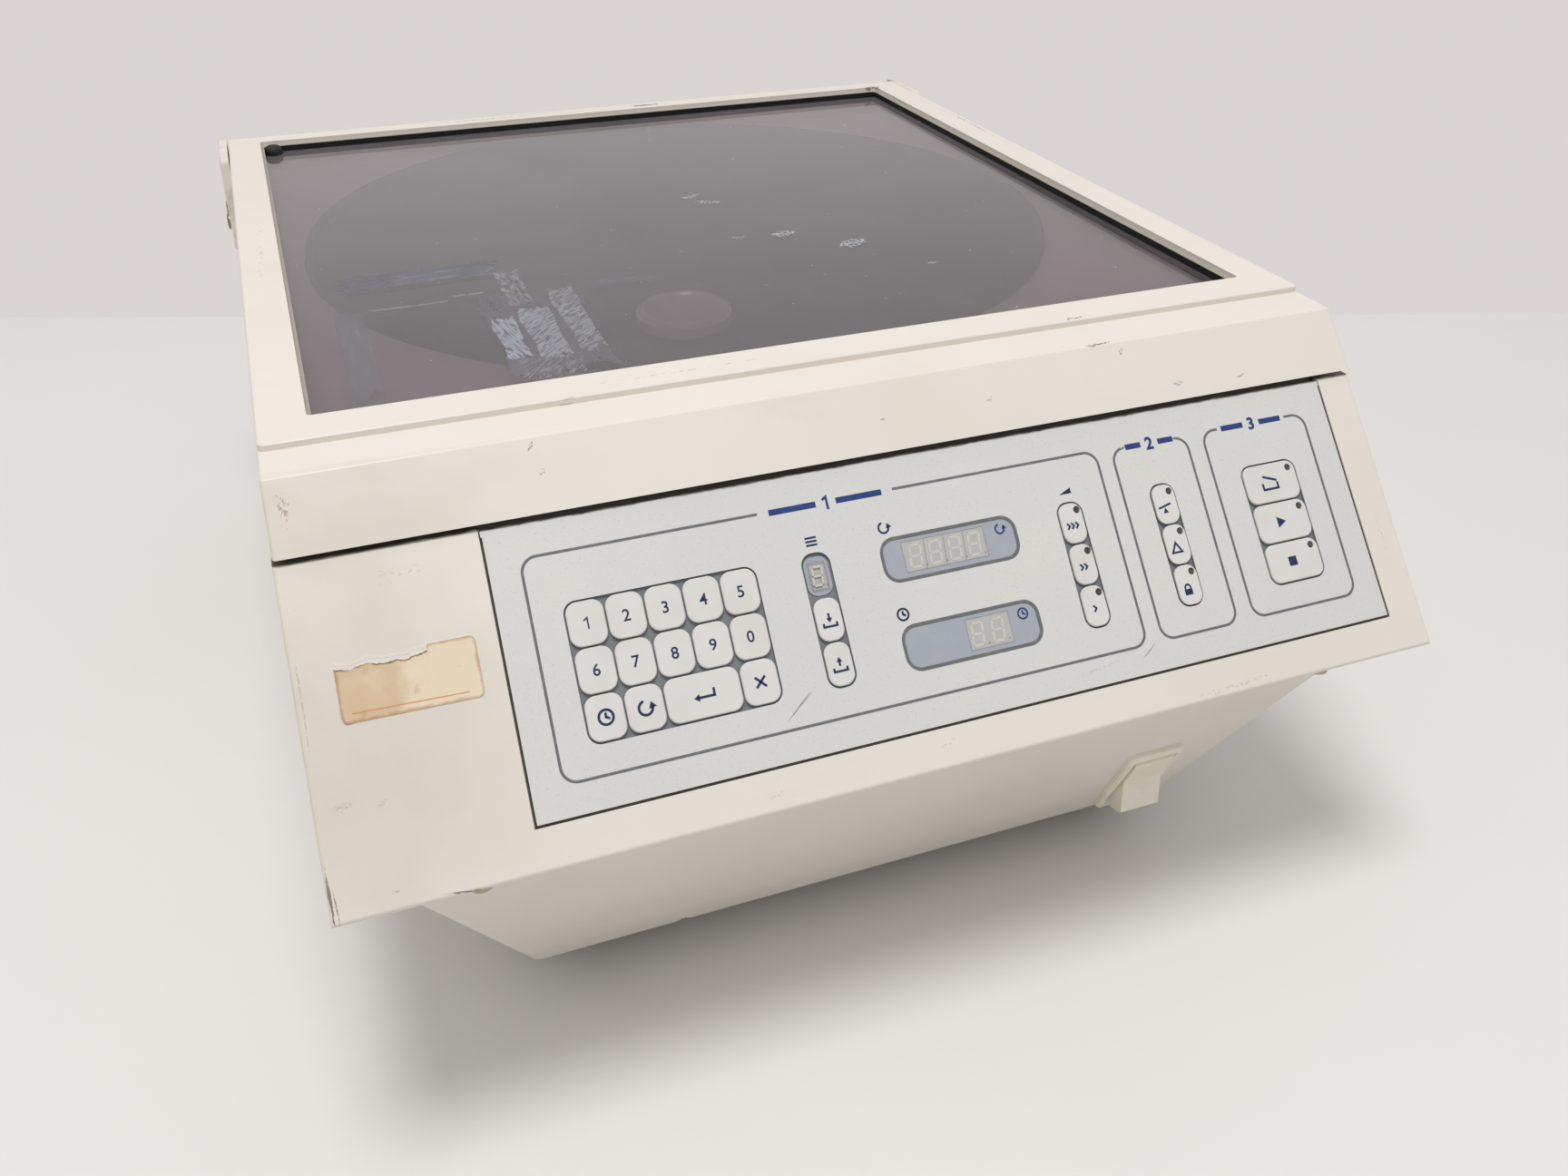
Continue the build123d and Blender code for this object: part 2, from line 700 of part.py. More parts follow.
def led_spots():
    """Where each indicator stands: near the upper right corner of its cell."""
    spots = []
    for x, (width, edge) in led_places.items():
        for s in row_s:
            spots.append((x + width / 2 - edge, -(s - led_offset_s)))
    return spots


panel_outline = (
    panel_width - 2 * panel_joint,
    panel_length - panel_joint,
)
panel_middle = (panel_mid_x, -panel_outline[1] / 2)

with BuildPart() as panel_overlay:
    with BuildSketch(face_plane.offset(-overlay_thickness)):
        with Locations(panel_middle):
            Rectangle(*panel_outline)
    extrude(amount=overlay_thickness)
    # sunk fields that hold the keys
    with BuildSketch(face_plane):
        with Locations((keypad_x, -keys_s)):
            field_width = key_width + 4 * key_pitch_x + 2 * key_spacing
            RectangleRounded(field_width, field_length, key_corner + key_spacing)
        for x, width in field_columns:
            with Locations((x, -keys_s)):
                RectangleRounded(width + 2 * key_spacing, field_length, key_corner + key_spacing)
    extrude(amount=-field_depth, mode=Mode.SUBTRACT)
    # fixed alarm cells
    with BuildSketch(face_plane.offset(-field_depth)):
        with Locations(*[(alarm_x, -s) for s in row_s]):
            RectangleRounded(narrow_key, key_length, key_corner)
        with Locations(*led_spots()):
            Circle(led_radius + led_clearance, mode=Mode.SUBTRACT)
    extrude(amount=field_depth + key_rise)
    # display windows
    with BuildSketch(face_plane):
        for x, s, width, length, corner in windows.values():
            with Locations((x, -s)):
                RectangleRounded(width, length, corner)
    extrude(amount=-overlay_thickness, mode=Mode.SUBTRACT)
save(panel_overlay, "panel_overlay")

stud_radius = 3.0
board_side_margin = 15.8
board_end_margin = 10.5
stud_inset = 5.0
board_width = panel_width - 2 * board_side_margin
board_length = panel_length - 2 * board_end_margin

with BuildPart() as panel_backplate:
    with BuildSketch(face_plane.offset(-overlay_thickness)):
        with Locations(panel_middle):
            Rectangle(*panel_outline)
        for x, s, width, length, corner in windows.values():
            with Locations((x, -s)):
                RectangleRounded(
                    width - 2 * window_ledge,
                    length - 2 * window_ledge,
                    corner - window_ledge,
                    mode=Mode.SUBTRACT,
                )
    extrude(amount=-backplate_thickness)
    # studs that the control board is screwed to
    with BuildSketch(face_plane.offset(-pocket_depth)):
        with Locations(panel_middle):
            with GridLocations(board_width / 2 - stud_inset - 2, board_length - 2 * stud_inset, 3, 2):
                Circle(stud_radius)
    extrude(amount=-board_gap)
save(panel_backplate, "panel_backplate")

with BuildPart() as display_windows:
    with BuildSketch(face_plane.offset(-overlay_thickness)):
        for x, s, width, length, corner in windows.values():
            with Locations((x, -s)):
                RectangleRounded(width - 2 * window_inset, length - 2 * window_inset, corner - window_inset)
    extrude(amount=overlay_thickness - window_inset)
    with BuildSketch(face_plane):
        with Locations((program_x, -row_s[0])):
            RectangleRounded(2 * narrow_key, 2 * key_length, 1)
    extrude(amount=-field_depth + 0.4, mode=Mode.SUBTRACT)
save(display_windows, "display_windows")

board_z = -(pocket_depth + board_gap)
module_gap = 0.4

with BuildPart() as display_modules:
    with BuildSketch(face_plane.offset(board_z)):
        for x, s, width, length in modules.values():
            with Locations((x, -s)):
                Rectangle(width, length)
    extrude(amount=-board_z - overlay_thickness - module_gap)
save(display_modules, "display_modules")

chip_pitch_s = 30.0
chip_length = 22.0
chip_width = 9.0
chip_height = 4.0
ribbon_inset = 26.0
ribbon_width = 9.0
ribbon_length = 40.0
chip_pitch_x = (board_width - 2 * (ribbon_inset + 1)) / 5

with BuildPart() as control_board:
    with BuildSketch(face_plane.offset(board_z)):
        with Locations(panel_middle):
            Rectangle(board_width, board_length)
    extrude(amount=-board_thickness)
    # chips and a ribbon connector on the back
    with BuildSketch(face_plane.offset(board_z - board_thickness)):
        with Locations(panel_middle):
            with GridLocations(chip_pitch_x, chip_pitch_s, 5, 2):
                Rectangle(chip_length, chip_width)
            with Locations((board_width / 2 - ribbon_inset, 0)):
                Rectangle(ribbon_width, ribbon_length)
    extrude(amount=-chip_height)
save(control_board, "control_board")

with BuildPart() as indicator_leds:
    with BuildSketch(face_plane.offset(-field_depth)):
        with Locations(*led_spots()):
            Circle(led_radius)
    extrude(amount=field_depth + key_rise - 0.2)
save(indicator_leds, "indicator_leds")


def make_key(name, x, s, width):
    """One key pad: a rounded plate that sinks into its field by the key travel."""
    with BuildPart() as key:
        with BuildSketch(face_plane.offset(key_floor_gap + key_travel - field_depth)):
            with Locations((x, -s)):
                RectangleRounded(width, key_length, key_corner)
        extrude(amount=field_depth - key_floor_gap - key_travel + key_rise)
        chamfer(key.faces().sort_by(Axis(face_plane.origin, face_plane.z_dir))[-1].edges(), 0.3)
        with BuildSketch(face_plane.offset(-field_depth)):
            with Locations(*led_spots()):
                Circle(led_radius + led_clearance)
        extrude(amount=field_depth + 2 * key_rise, mode=Mode.SUBTRACT)
    save(key, name)


for row, names in enumerate(keypad_rows):
    for column, name in enumerate(names):
        key_x = keypad_x + (column - 2) * key_pitch_x
        if name == "key_enter":
            make_key(name, key_x + key_pitch_x / 2, row_s[row], key_width + key_pitch_x)
        elif name:
            make_key(name, key_x, row_s[row], key_width)
for key_x, (width, names) in columns.items():
    for row, name in enumerate(names):
        if name:
            make_key(name, key_x, row_s[row], width)

# ---------------------------------------------------------------- lid
def brow_y(z):
    """Where the brow's outer face stands at height z."""
    return fold_y - (shell_top_z - z) * slope_y / slope_z


window_half = opening_half + window_overlap
window_front_y = opening_front_y - window_overlap
window_rear_y = opening_rear_y + window_overlap
window_depth = window_rear_y - window_front_y
inner_top_z = shell_top_z - lid_wall
tail_low_y = pivot_y + sqrt(tail_radius**2 - (pivot_z - lid_bottom_z) ** 2)
tail_high_z = pivot_z - sqrt(tail_radius**2 - lid_tail**2)
tail_low_turn = asin((pivot_z - lid_bottom_z) / tail_radius)
tail_high_turn = asin((pivot_z - tail_high_z) / tail_radius)
tail_middle = (tail_low_turn + tail_high_turn) / 2
skirt_cut_z = lid_bottom_z - 1.0

with BuildPart() as lid_shell:
    with BuildSketch(Plane.YZ):
        with BuildLine():
            Polyline(
                (lid_rear_y, tail_high_z),
                (lid_rear_y, shell_top_z),
                (fold_y, shell_top_z),
                (brow_bottom_y, lid_bottom_z),
                (tail_low_y, lid_bottom_z),
            )
            ThreePointArc(
                (tail_low_y, lid_bottom_z),
                (pivot_y + tail_radius * cos(tail_middle), pivot_z - tail_radius * sin(tail_middle)),
                (lid_rear_y, tail_high_z),
            )
        make_face()
    extrude(amount=lid_half, both=True)
    crown_edges = lid_shell.faces().sort_by(Axis.Z)[-1].edges().filter_by(Axis.Y)
    brow_edges = lid_shell.faces().sort_by(Axis.Y)[0].edges().filter_by(Axis.X, reverse=True)
    fold_edge = lid_shell.edges().filter_by(Axis.X).group_by(Axis.Z)[-1].sort_by(Axis.Y)[0]
    fillet(crown_edges + brow_edges + [fold_edge], 1.2)
    # hollow underside
    with BuildSketch(Plane.YZ):
        with BuildLine():
            Polyline(
                (brow_y(inner_top_z) + lid_wall / slope_z, inner_top_z),
                (brow_y(skirt_cut_z) + lid_wall / slope_z, skirt_cut_z),
                (lid_rear_y - lid_wall, skirt_cut_z),
                (lid_rear_y - lid_wall, inner_top_z),
                close=True,
            )
        make_face()
    extrude(amount=lid_half - lid_wall, both=True, mode=Mode.SUBTRACT)
    # sunk seat round the window
    window_middle_y = (window_front_y + window_rear_y) / 2
    with BuildSketch(Plane.XY.offset(seat_bottom_z)):
        with Locations((0, window_middle_y)):
            Rectangle(
                2 * (window_half + window_clearance + seat_wall),
                window_depth + 2 * (window_clearance + seat_wall),
            )
    extrude(amount=inner_top_z - seat_bottom_z)
    with BuildSketch(Plane.XY.offset(window_bottom_z)):
        with Locations((0, window_middle_y)):
            Rectangle(2 * (window_half + window_clearance), window_depth + 2 * window_clearance)
    extrude(amount=shell_top_z - window_bottom_z, mode=Mode.SUBTRACT)
    with BuildSketch(Plane.XY.offset(seat_bottom_z)):
        with Locations((0, window_middle_y)):
            RectangleRounded(2 * (opening_half + 1), opening_rear_y - opening_front_y + 2, 3)
    extrude(amount=seat_thickness, mode=Mode.SUBTRACT)
    # pin bosses inside the side skirts, and their bores
    for side in (-1, 1):
        skirt_plane = Plane(origin=(side * lid_half, pivot_y, pivot_z), x_dir=(0, 1, 0), z_dir=(side, 0, 0))
        with BuildSketch(skirt_plane.offset(-lid_wall)):
            Circle(pin_boss_radius)
        extrude(amount=-pin_boss_depth)
        with BuildSketch(skirt_plane):
            Circle(pin_radius + running_clearance)
        extrude(amount=-(lid_wall + pin_boss_depth), mode=Mode.SUBTRACT)
save(lid_shell, "lid_shell")

with BuildPart() as lid_top_frame:
    with BuildSketch(Plane.XY.offset(shell_top_z)):
        with Locations((0, (sheet_front_y + sheet_rear_y) / 2)):
            RectangleRounded(2 * sheet_half, sheet_depth, 2)
        with Locations((0, (opening_front_y + opening_rear_y) / 2)):
            RectangleRounded(2 * opening_half, opening_rear_y - opening_front_y, 1.5, mode=Mode.SUBTRACT)
    extrude(amount=sheet_thickness)
    chamfer(lid_top_frame.faces().sort_by(Axis.Z)[-1].outer_wire().edges(), 0.4)
save(lid_top_frame, "lid_top_frame")

with BuildPart() as window_gasket:
    with BuildSketch(Plane.XY.offset(window_top_z)):
        with Locations((0, window_middle_y)):
            Rectangle(2 * window_half + window_clearance, window_depth + window_clearance)
        with Locations((0, (opening_front_y + opening_rear_y) / 2)):
            RectangleRounded(
                2 * (opening_half - gasket_reveal),
                opening_rear_y - opening_front_y - 2 * gasket_reveal,
                2,
                mode=Mode.SUBTRACT,
            )
    extrude(amount=gasket_height)
save(window_gasket, "window_gasket")

with BuildPart() as lid_window:
    with BuildSketch(Plane.XY.offset(window_bottom_z)):
        with Locations((0, window_middle_y)):
            RectangleRounded(2 * window_half, window_depth, 1)
    extrude(amount=window_thickness)
save(lid_window, "lid_window")

buffer_x = buffer_radius + 0.05 + gasket_reveal - opening_half
buffer_y = opening_rear_y - gasket_reveal - 0.05 - buffer_radius

with BuildPart() as window_corner_buffer:
    with Locations((buffer_x, buffer_y, window_top_z)):
        Cylinder(buffer_radius, buffer_height, align=(Align.CENTER, Align.CENTER, Align.MIN))
    fillet(window_corner_buffer.edges().group_by(Axis.Z)[-1], 2.8)
    fillet(window_corner_buffer.edges().group_by(Axis.Z)[0], 0.8)
save(window_corner_buffer, "window_corner_buffer")

# ---------------------------------------------------------------- hinge cheeks and pins
cheek_low_z = case_height - cheek_top_drop - cheek_height
cheek_middle_y = pivot_y - cheek_lead + cheek_depth / 2
pin_fit = 0.02


def side_plane(side, x):
    """Plane facing out to one side, its x along +Y and its y along side * Z."""
    return Plane(origin=(side * x, 0, 0), x_dir=(0, 1, 0), z_dir=(side, 0, 0))


def make_cheek(side, name):
    """Hinge cheek: a plate screwed to the housing that rises past the lid's skirt to hold the pin."""
    with BuildPart() as cheek:
        with BuildSketch(side_plane(side, half_width)):
            with Locations((cheek_middle_y, side * (cheek_low_z + cheek_height / 2))):
                RectangleRounded(cheek_depth, cheek_height, 6)
            with Locations((pivot_y, side * pivot_z)):
                Circle(pin_radius + pin_fit, mode=Mode.SUBTRACT)
            with Locations(*[(y, side * cheek_screw_z) for y in cheek_screw_y]):
                Circle(cheek_screw_radius + running_clearance, mode=Mode.SUBTRACT)
        extrude(amount=cheek_thickness)
        outer_face = cheek.faces().sort_by(Axis.X)[-1 if side > 0 else 0]
        chamfer(outer_face.outer_wire().edges(), 0.8)
    save(cheek, name)


make_cheek(-1, "hinge_cheek_left")
make_cheek(1, "hinge_cheek_right")

screw_head_radius = 4.2
screw_head_height = 1.6

with BuildPart() as cheek_screws:
    for side in (-1, 1):
        with BuildSketch(side_plane(side, half_width + cheek_thickness)):
            with Locations(*[(y, side * cheek_screw_z) for y in cheek_screw_y]):
                Circle(cheek_screw_radius)
        extrude(amount=-(cheek_thickness + housing_wall - 0.5))
        with BuildSketch(side_plane(side, half_width + cheek_thickness)):
            with Locations(*[(y, side * cheek_screw_z) for y in cheek_screw_y]):
                Circle(screw_head_radius)
        extrude(amount=screw_head_height)
        head_faces = cheek_screws.faces().filter_by(Axis.X).group_by(Axis.X)[-1 if side > 0 else 0]
        fillet([e for f in head_faces for e in f.edges()], 1.0)
        with BuildSketch(side_plane(side, half_width + cheek_thickness + screw_head_height)):
            with Locations(*[(y, side * cheek_screw_z) for y in cheek_screw_y]):
                Rectangle(2 * screw_head_radius + 1, 1.1, rotation=35)
        extrude(amount=-0.7, mode=Mode.SUBTRACT)
save(cheek_screws, "cheek_screws")

pin_inner_x = lid_half - lid_wall - pin_boss_depth + 0.4

with BuildPart() as hinge_pins:
    for side in (-1, 1):
        with BuildSketch(side_plane(side, pin_inner_x)):
            with Locations((pivot_y, side * pivot_z)):
                Circle(pin_radius)
        extrude(amount=half_width + cheek_thickness - pin_inner_x)
save(hinge_pins, "hinge_pins")

# ---------------------------------------------------------------- power rocker
half_swing = radians(rocker_swing / 2)
down_face = Vector(0, draft_sin, -draft_cos)
out_face = Vector(0, -draft_cos, -draft_sin)
rocker_pin_at = tub_plane.from_local_coords(Vector(rocker_x, -rocker_v, -rocker_pin_depth))
rocker_side_plane = Plane(
    origin=rocker_pin_at,
    x_dir=down_face * cos(half_swing) + out_face * sin(half_swing),
    z_dir=(-1, 0, 0),
)
facet_run = rocker_facet * cos(half_swing)
facet_rise = rocker_break_height + rocker_facet * sin(half_swing)
rocker_reach = sqrt(facet_run**2 + facet_rise**2)
skirt_angle = radians(2.5)
cavity_half = rocker_reach + 0.8
opening_reach = sqrt(rocker_reach**2 - rocker_pin_depth**2) + rocker_gap

with BuildPart() as power_rocker:
    with BuildSketch(rocker_side_plane):
        with BuildLine():
            Polyline((-facet_run, facet_rise), (0, rocker_break_height), (facet_run, facet_rise))
            skirt_right = (rocker_reach * cos(skirt_angle), rocker_reach * sin(skirt_angle))
            skirt_left = (-skirt_right[0], skirt_right[1])
            RadiusArc((facet_run, facet_rise), skirt_right, rocker_reach)
            RadiusArc(skirt_left, (-facet_run, facet_rise), rocker_reach)
            Polyline(skirt_right, (5, -4.5), (-5, -4.5), skirt_left)
        make_face()
    extrude(amount=rocker_width / 2, both=True)
    fillet(power_rocker.edges().filter_by(lambda e: abs(e.length - rocker_width) < 0.01).sort_by(
        Axis(rocker_pin_at, rocker_side_plane.y_dir))[-2:], 0.8)
    with BuildSketch(rocker_side_plane):
        Circle(rocker_pin_radius)
    extrude(amount=bezel_body_width / 2 - 0.2, both=True)
save(power_rocker, "power_rocker")

with BuildPart() as rocker_bezel:
    with BuildSketch(tub_plane):
        with Locations((rocker_x, -rocker_v)):
            RectangleRounded(bezel_width, bezel_length, 1.6)
    extrude(amount=bezel_rise)
    chamfer(rocker_bezel.faces().sort_by(Axis(tub_plane.origin, tub_plane.z_dir))[-1].edges(), 0.9)
    with BuildSketch(tub_plane):
        with Locations((rocker_x, -rocker_v)):
            Rectangle(bezel_body_width, bezel_body_length)
    extrude(amount=-bezel_body_depth)
    with BuildSketch(tub_plane.offset(bezel_rise)):
        with Locations((rocker_x, -rocker_v)):
            Rectangle(rocker_width + 2 * rocker_gap, 2 * opening_reach)
    extrude(amount=-bezel_rise, mode=Mode.SUBTRACT)
    # inner step round the opening
    with BuildSketch(tub_plane.offset(bezel_rise)):
        with Locations((rocker_x, -rocker_v)):
            Rectangle(rocker_width + 2 * rocker_gap + 1.6, 2 * opening_reach + 2.4)
    extrude(amount=-0.7, mode=Mode.SUBTRACT)
    with BuildSketch(tub_plane):
        with Locations((rocker_x, -rocker_v)):
            Rectangle(rocker_width + 2 * rocker_gap, 2 * cavity_half)
    extrude(amount=2 - bezel_body_depth, mode=Mode.SUBTRACT)
    with BuildSketch(Plane(origin=rocker_pin_at, x_dir=down_face, z_dir=(-1, 0, 0))):
        Circle(rocker_pin_radius + running_clearance)
    extrude(amount=bezel_body_width / 2, both=True, mode=Mode.SUBTRACT)
save(rocker_bezel, "rocker_bezel")

# ---------------------------------------------------------------- mains inlet and fuses
bay_face = rear_face.offset(-rear_bay_depth)
socket_half_x = 12.2
socket_half_z = 8.2
socket_cut = 4.6  # the two upper corners are cut off by this much
contact_width = 2.0
contact_height = 4.0
contact_pitch = 7.0
contact_offset = 2.0
contact_depth = 4.0  # from the bay's face in to the contacts' tips
fuse_flange = 1.5
fuse_slot_width = 1.4
fuse_body_length = 28.0

with BuildPart() as mains_inlet:
    with BuildSketch(bay_face):
        with Locations((-inlet_x, rear_bay_z)):
            RectangleRounded(inlet_width, inlet_height, 3)
    extrude(amount=inlet_flange)
    with BuildSketch(bay_face):
        with Locations((-inlet_x, rear_bay_z)):
            Rectangle(inlet_body_width, inlet_body_height)
    extrude(amount=-inlet_body_depth)
    # socket with two cut corners
    with BuildSketch(bay_face.offset(inlet_flange)):
        with Locations((-inlet_x, rear_bay_z)):
            with BuildLine():
                Polyline(
                    (-socket_half_x, -socket_half_z),
                    (socket_half_x, -socket_half_z),
                    (socket_half_x, socket_half_z - socket_cut),
                    (socket_half_x - socket_cut, socket_half_z),
                    (socket_cut - socket_half_x, socket_half_z),
                    (-socket_half_x, socket_half_z - socket_cut),
                    close=True,
                )
            make_face()
    extrude(amount=-(inlet_body_depth + inlet_flange - 3), mode=Mode.SUBTRACT)
    # three flat contact pins
    with BuildSketch(bay_face.offset(-inlet_body_depth)):
        with Locations((-inlet_x, rear_bay_z)):
            with Locations(
                (-contact_pitch, -contact_offset),
                (contact_pitch, -contact_offset),
                (0, contact_offset),
            ):
                Rectangle(contact_width, contact_height)
    extrude(amount=inlet_body_depth - contact_depth)
save(mains_inlet, "mains_inlet")

with BuildPart() as fuse_holders:
    with BuildSketch(bay_face):
        with Locations((-fuse_x, rear_bay_z)):
            with GridLocations(1, fuse_pitch, 1, 2):
                Circle(fuse_flange_radius)
    extrude(amount=fuse_flange)
    with BuildSketch(bay_face.offset(fuse_flange)):
        with Locations((-fuse_x, rear_bay_z)):
            with GridLocations(1, fuse_pitch, 1, 2):
                Circle(fuse_radius - 0.5)
    extrude(amount=fuse_cap_rise - fuse_flange)
    with BuildSketch(bay_face.offset(fuse_cap_rise)):
        with Locations((-fuse_x, rear_bay_z)):
            with GridLocations(1, fuse_pitch, 1, 2):
                Rectangle(fuse_radius + 1, fuse_slot_width)
    extrude(amount=-1.2, mode=Mode.SUBTRACT)
    with BuildSketch(bay_face):
        with Locations((-fuse_x, rear_bay_z)):
            with GridLocations(1, fuse_pitch, 1, 2):
                Circle(fuse_radius)
    extrude(amount=-fuse_body_length)
save(fuse_holders, "fuse_holders")

# ---------------------------------------------------------------- power supply on the chassis
chassis_top_z = chassis_z + chassis_thickness
core_width = 76.0
core_depth = 36.0
core_foot = 2.0
core_foot_side = 8.0
core_foot_end = 3.0
core_height = bowl_floor_z - bowl_wall - transformer_headroom - chassis_top_z - core_foot
coil_width = 44.0
coil_depth = 56.0
coil_inset = 11.0
coil_height = core_height - 2 * coil_inset
transformer_x = transformer_inset - chassis_width / 2
electrics_front_y = electrics_front_gap - chassis_depth / 2
electrics_rear_y = chamber_y - mount_pitch / 2 - pillar_radius - electrics_rear_gap
electrics_y = (electrics_front_y + electrics_rear_y) / 2

with BuildPart() as transformer:
    with BuildSketch(Plane.XY.offset(chassis_top_z)):
        with Locations((transformer_x, electrics_y)):
            RectangleRounded(core_width + 2 * core_foot_side, core_depth + 2 * core_foot_end, 4)
    extrude(amount=core_foot)
    with BuildSketch(Plane.XY.offset(chassis_top_z + core_foot)):
        with Locations((transformer_x, electrics_y)):
            Rectangle(core_width, core_depth)
    extrude(amount=core_height)
    with BuildSketch(Plane.XY.offset(chassis_top_z + core_foot + coil_inset)):
        with Locations((transformer_x, electrics_y)):
            RectangleRounded(coil_width, coil_depth, 8)
    extrude(amount=coil_height)
save(transformer, "transformer")

standoff_height = 8.0
standoff_inset = 6.0
standoff_radius = 3.0
drive_board_left = transformer_x + core_width / 2 + core_foot_side + drive_board_gap
drive_board_width = chassis_width / 2 - drive_board_inset - drive_board_left
drive_board_depth = electrics_rear_y - electrics_front_y
drive_board_x = drive_board_left + drive_board_width / 2
capacitor_radius = 11.0
capacitor_height = 34.0
capacitor_pitch = 28.0
capacitor_setback = 18.0  # from the board's front edge
sink_side_margin = 11.0
sink_depth = 30.0
sink_setback = 18.0  # from the board's middle back to the sink's
sink_base = 4.0
fin_pitch = 8.0
fin_width = 2.0
fin_height = 20.0
sink_width = drive_board_width - 2 * sink_side_margin
fin_count = int((sink_width - fin_width) / fin_pitch) + 1

with BuildPart() as drive_board:
    with BuildSketch(Plane.XY.offset(chassis_top_z)):
        with Locations((drive_board_x, electrics_y)):
            with GridLocations(
                drive_board_width - 2 * standoff_inset,
                drive_board_depth - 2 * standoff_inset,
                2,
                2,
            ):
                Circle(standoff_radius)
    extrude(amount=standoff_height)
    with BuildSketch(Plane.XY.offset(chassis_top_z + standoff_height)):
        with Locations((drive_board_x, electrics_y)):
            Rectangle(drive_board_width, drive_board_depth)
    extrude(amount=board_thickness)
    # smoothing capacitors
    board_top = Plane.XY.offset(chassis_top_z + standoff_height + board_thickness)
    with BuildSketch(board_top):
        with Locations((drive_board_x - capacitor_pitch / 2, electrics_front_y + capacitor_setback)):
            with GridLocations(capacitor_pitch, 1, 2, 1):
                Circle(capacitor_radius)
    extrude(amount=capacitor_height)
    # finned heat sink
    with BuildSketch(board_top):
        with Locations((drive_board_x, electrics_y + sink_setback)):
            Rectangle(sink_width, sink_depth)
    extrude(amount=sink_base)
    with BuildSketch(board_top.offset(sink_base)):
        with Locations((drive_board_x, electrics_y + sink_setback)):
            with GridLocations(fin_pitch, 1, fin_count, 1):
                Rectangle(fin_width, sink_depth)
    extrude(amount=fin_height)
save(drive_board, "drive_board")

# ---------------------------------------------------------------- lid latch
hook_y = slot_y + hook_back
hook_z = deck_z - hook_pin_drop
plunger_z = hook_z - hook_arm
half_latch = radians(latch_swing / 2)
plunger_rest_y = hook_y - hook_arm * sin(half_latch)
deck_under_z = deck_z - deck_wall
solenoid_front_y = hook_y - 8.0
solenoid_rear_y = solenoid_front_y - solenoid_length
striker_base_z = inner_top_z - latch_plate

with BuildPart() as lid_striker:
    with BuildSketch(Plane.XY.offset(striker_base_z)):
        with Locations((0, slot_y)):
            RectangleRounded(34, 16, 3)
    extrude(amount=latch_plate)
    with BuildSketch(Plane.XY.offset(striker_base_z)):
        with Locations((0, slot_y)):
            Rectangle(striker_width, striker_thickness)
    extrude(amount=-striker_reach)
    with BuildSketch(Plane.XZ.offset(-slot_y)):
        with Locations((0, striker_base_z - striker_reach + striker_bar + striker_window / 2)):
            RectangleRounded(striker_width - 5, striker_window, 1)
    extrude(amount=striker_thickness, both=True, mode=Mode.SUBTRACT)
save(lid_striker, "lid_striker")

with BuildPart() as latch_bracket:
    for side in (-1, 1):
        with BuildSketch(Plane.YZ.offset(side * (latch_cheek_gap + latch_plate / 2))):
            with BuildLine():
                Polyline(
                    (hook_y + 10, deck_under_z),
                    (slot_y - 7, deck_under_z),
                    (slot_y - 7, hook_z + 14),
                    (solenoid_rear_y - 1, plunger_z + solenoid_height / 2 + 1),
                    (solenoid_rear_y - 1, plunger_z - solenoid_height / 2 - latch_plate),
                    (hook_y + 4, plunger_z - solenoid_height / 2 - latch_plate),
                    (hook_y + 10, hook_z - 10),
                    close=True,
                )
            make_face()
            with Locations((hook_y, hook_z)):
                Circle(hook_pin_radius + running_clearance, mode=Mode.SUBTRACT)
        extrude(amount=latch_plate / 2, both=True)
    with BuildSketch(Plane.XY.offset(deck_under_z)):
        with Locations((0, (hook_y + 10 + slot_y - 7) / 2)):
            Rectangle(2 * latch_cheek_gap + 16, hook_y + 17 - slot_y)
        with Locations((0, (hook_y + 7 + slot_y - 4.5) / 2)):
            Rectangle(2 * latch_cheek_gap - 3, hook_y + 11.5 - slot_y, mode=Mode.SUBTRACT)
    extrude(amount=-latch_plate)
    # floor under the solenoid
    with BuildSketch(Plane.XY.offset(plunger_z - solenoid_height / 2 - latch_plate)):
        with Locations((0, (solenoid_front_y + solenoid_rear_y) / 2)):
            Rectangle(2 * latch_cheek_gap, solenoid_length + 2)
    extrude(amount=latch_plate)
save(latch_bracket, "latch_bracket")

with BuildPart() as latch_solenoid:
    with BuildSketch(Plane.XZ.offset(-solenoid_front_y)):
        with Locations((0, plunger_z)):
            Rectangle(2 * latch_cheek_gap, solenoid_height)
    extrude(amount=solenoid_length)
    with BuildSketch(Plane.XZ.offset(-solenoid_front_y)):
        with Locations((0, plunger_z)):
            Circle(plunger_radius + running_clearance)
    extrude(amount=solenoid_length * 0.6, mode=Mode.SUBTRACT)
save(latch_solenoid, "latch_solenoid")

plunger_inner_y = solenoid_front_y - solenoid_length * 0.6 + 1.0

with BuildPart() as latch_plunger:
    with BuildSketch(Plane.XZ.offset(-(plunger_rest_y + plunger_groove / 2 + 2))):
        with Locations((0, plunger_z)):
            Circle(plunger_radius)
    extrude(amount=plunger_rest_y + plunger_groove / 2 + 2 - plunger_inner_y)
    with BuildSketch(Plane.XZ.offset(-plunger_rest_y)):
        with Locations((0, plunger_z)):
            Circle(plunger_radius + 1)
            Circle(plunger_neck, mode=Mode.SUBTRACT)
    extrude(amount=plunger_groove / 2, both=True, mode=Mode.SUBTRACT)
save(latch_plunger, "latch_plunger")

# The hook is drawn latched, on a plane turned back to where it rests when released
released = radians(latch_swing)
hook_plane = Plane(
    origin=(0, hook_y, hook_z),
    x_dir=(0, cos(released), -sin(released)),
    z_dir=(1, 0, 0),
)
fork_width = plunger_neck + 0.4
fork_root = hook_arm - plunger_radius - 1.5
fork_end = hook_arm + plunger_radius

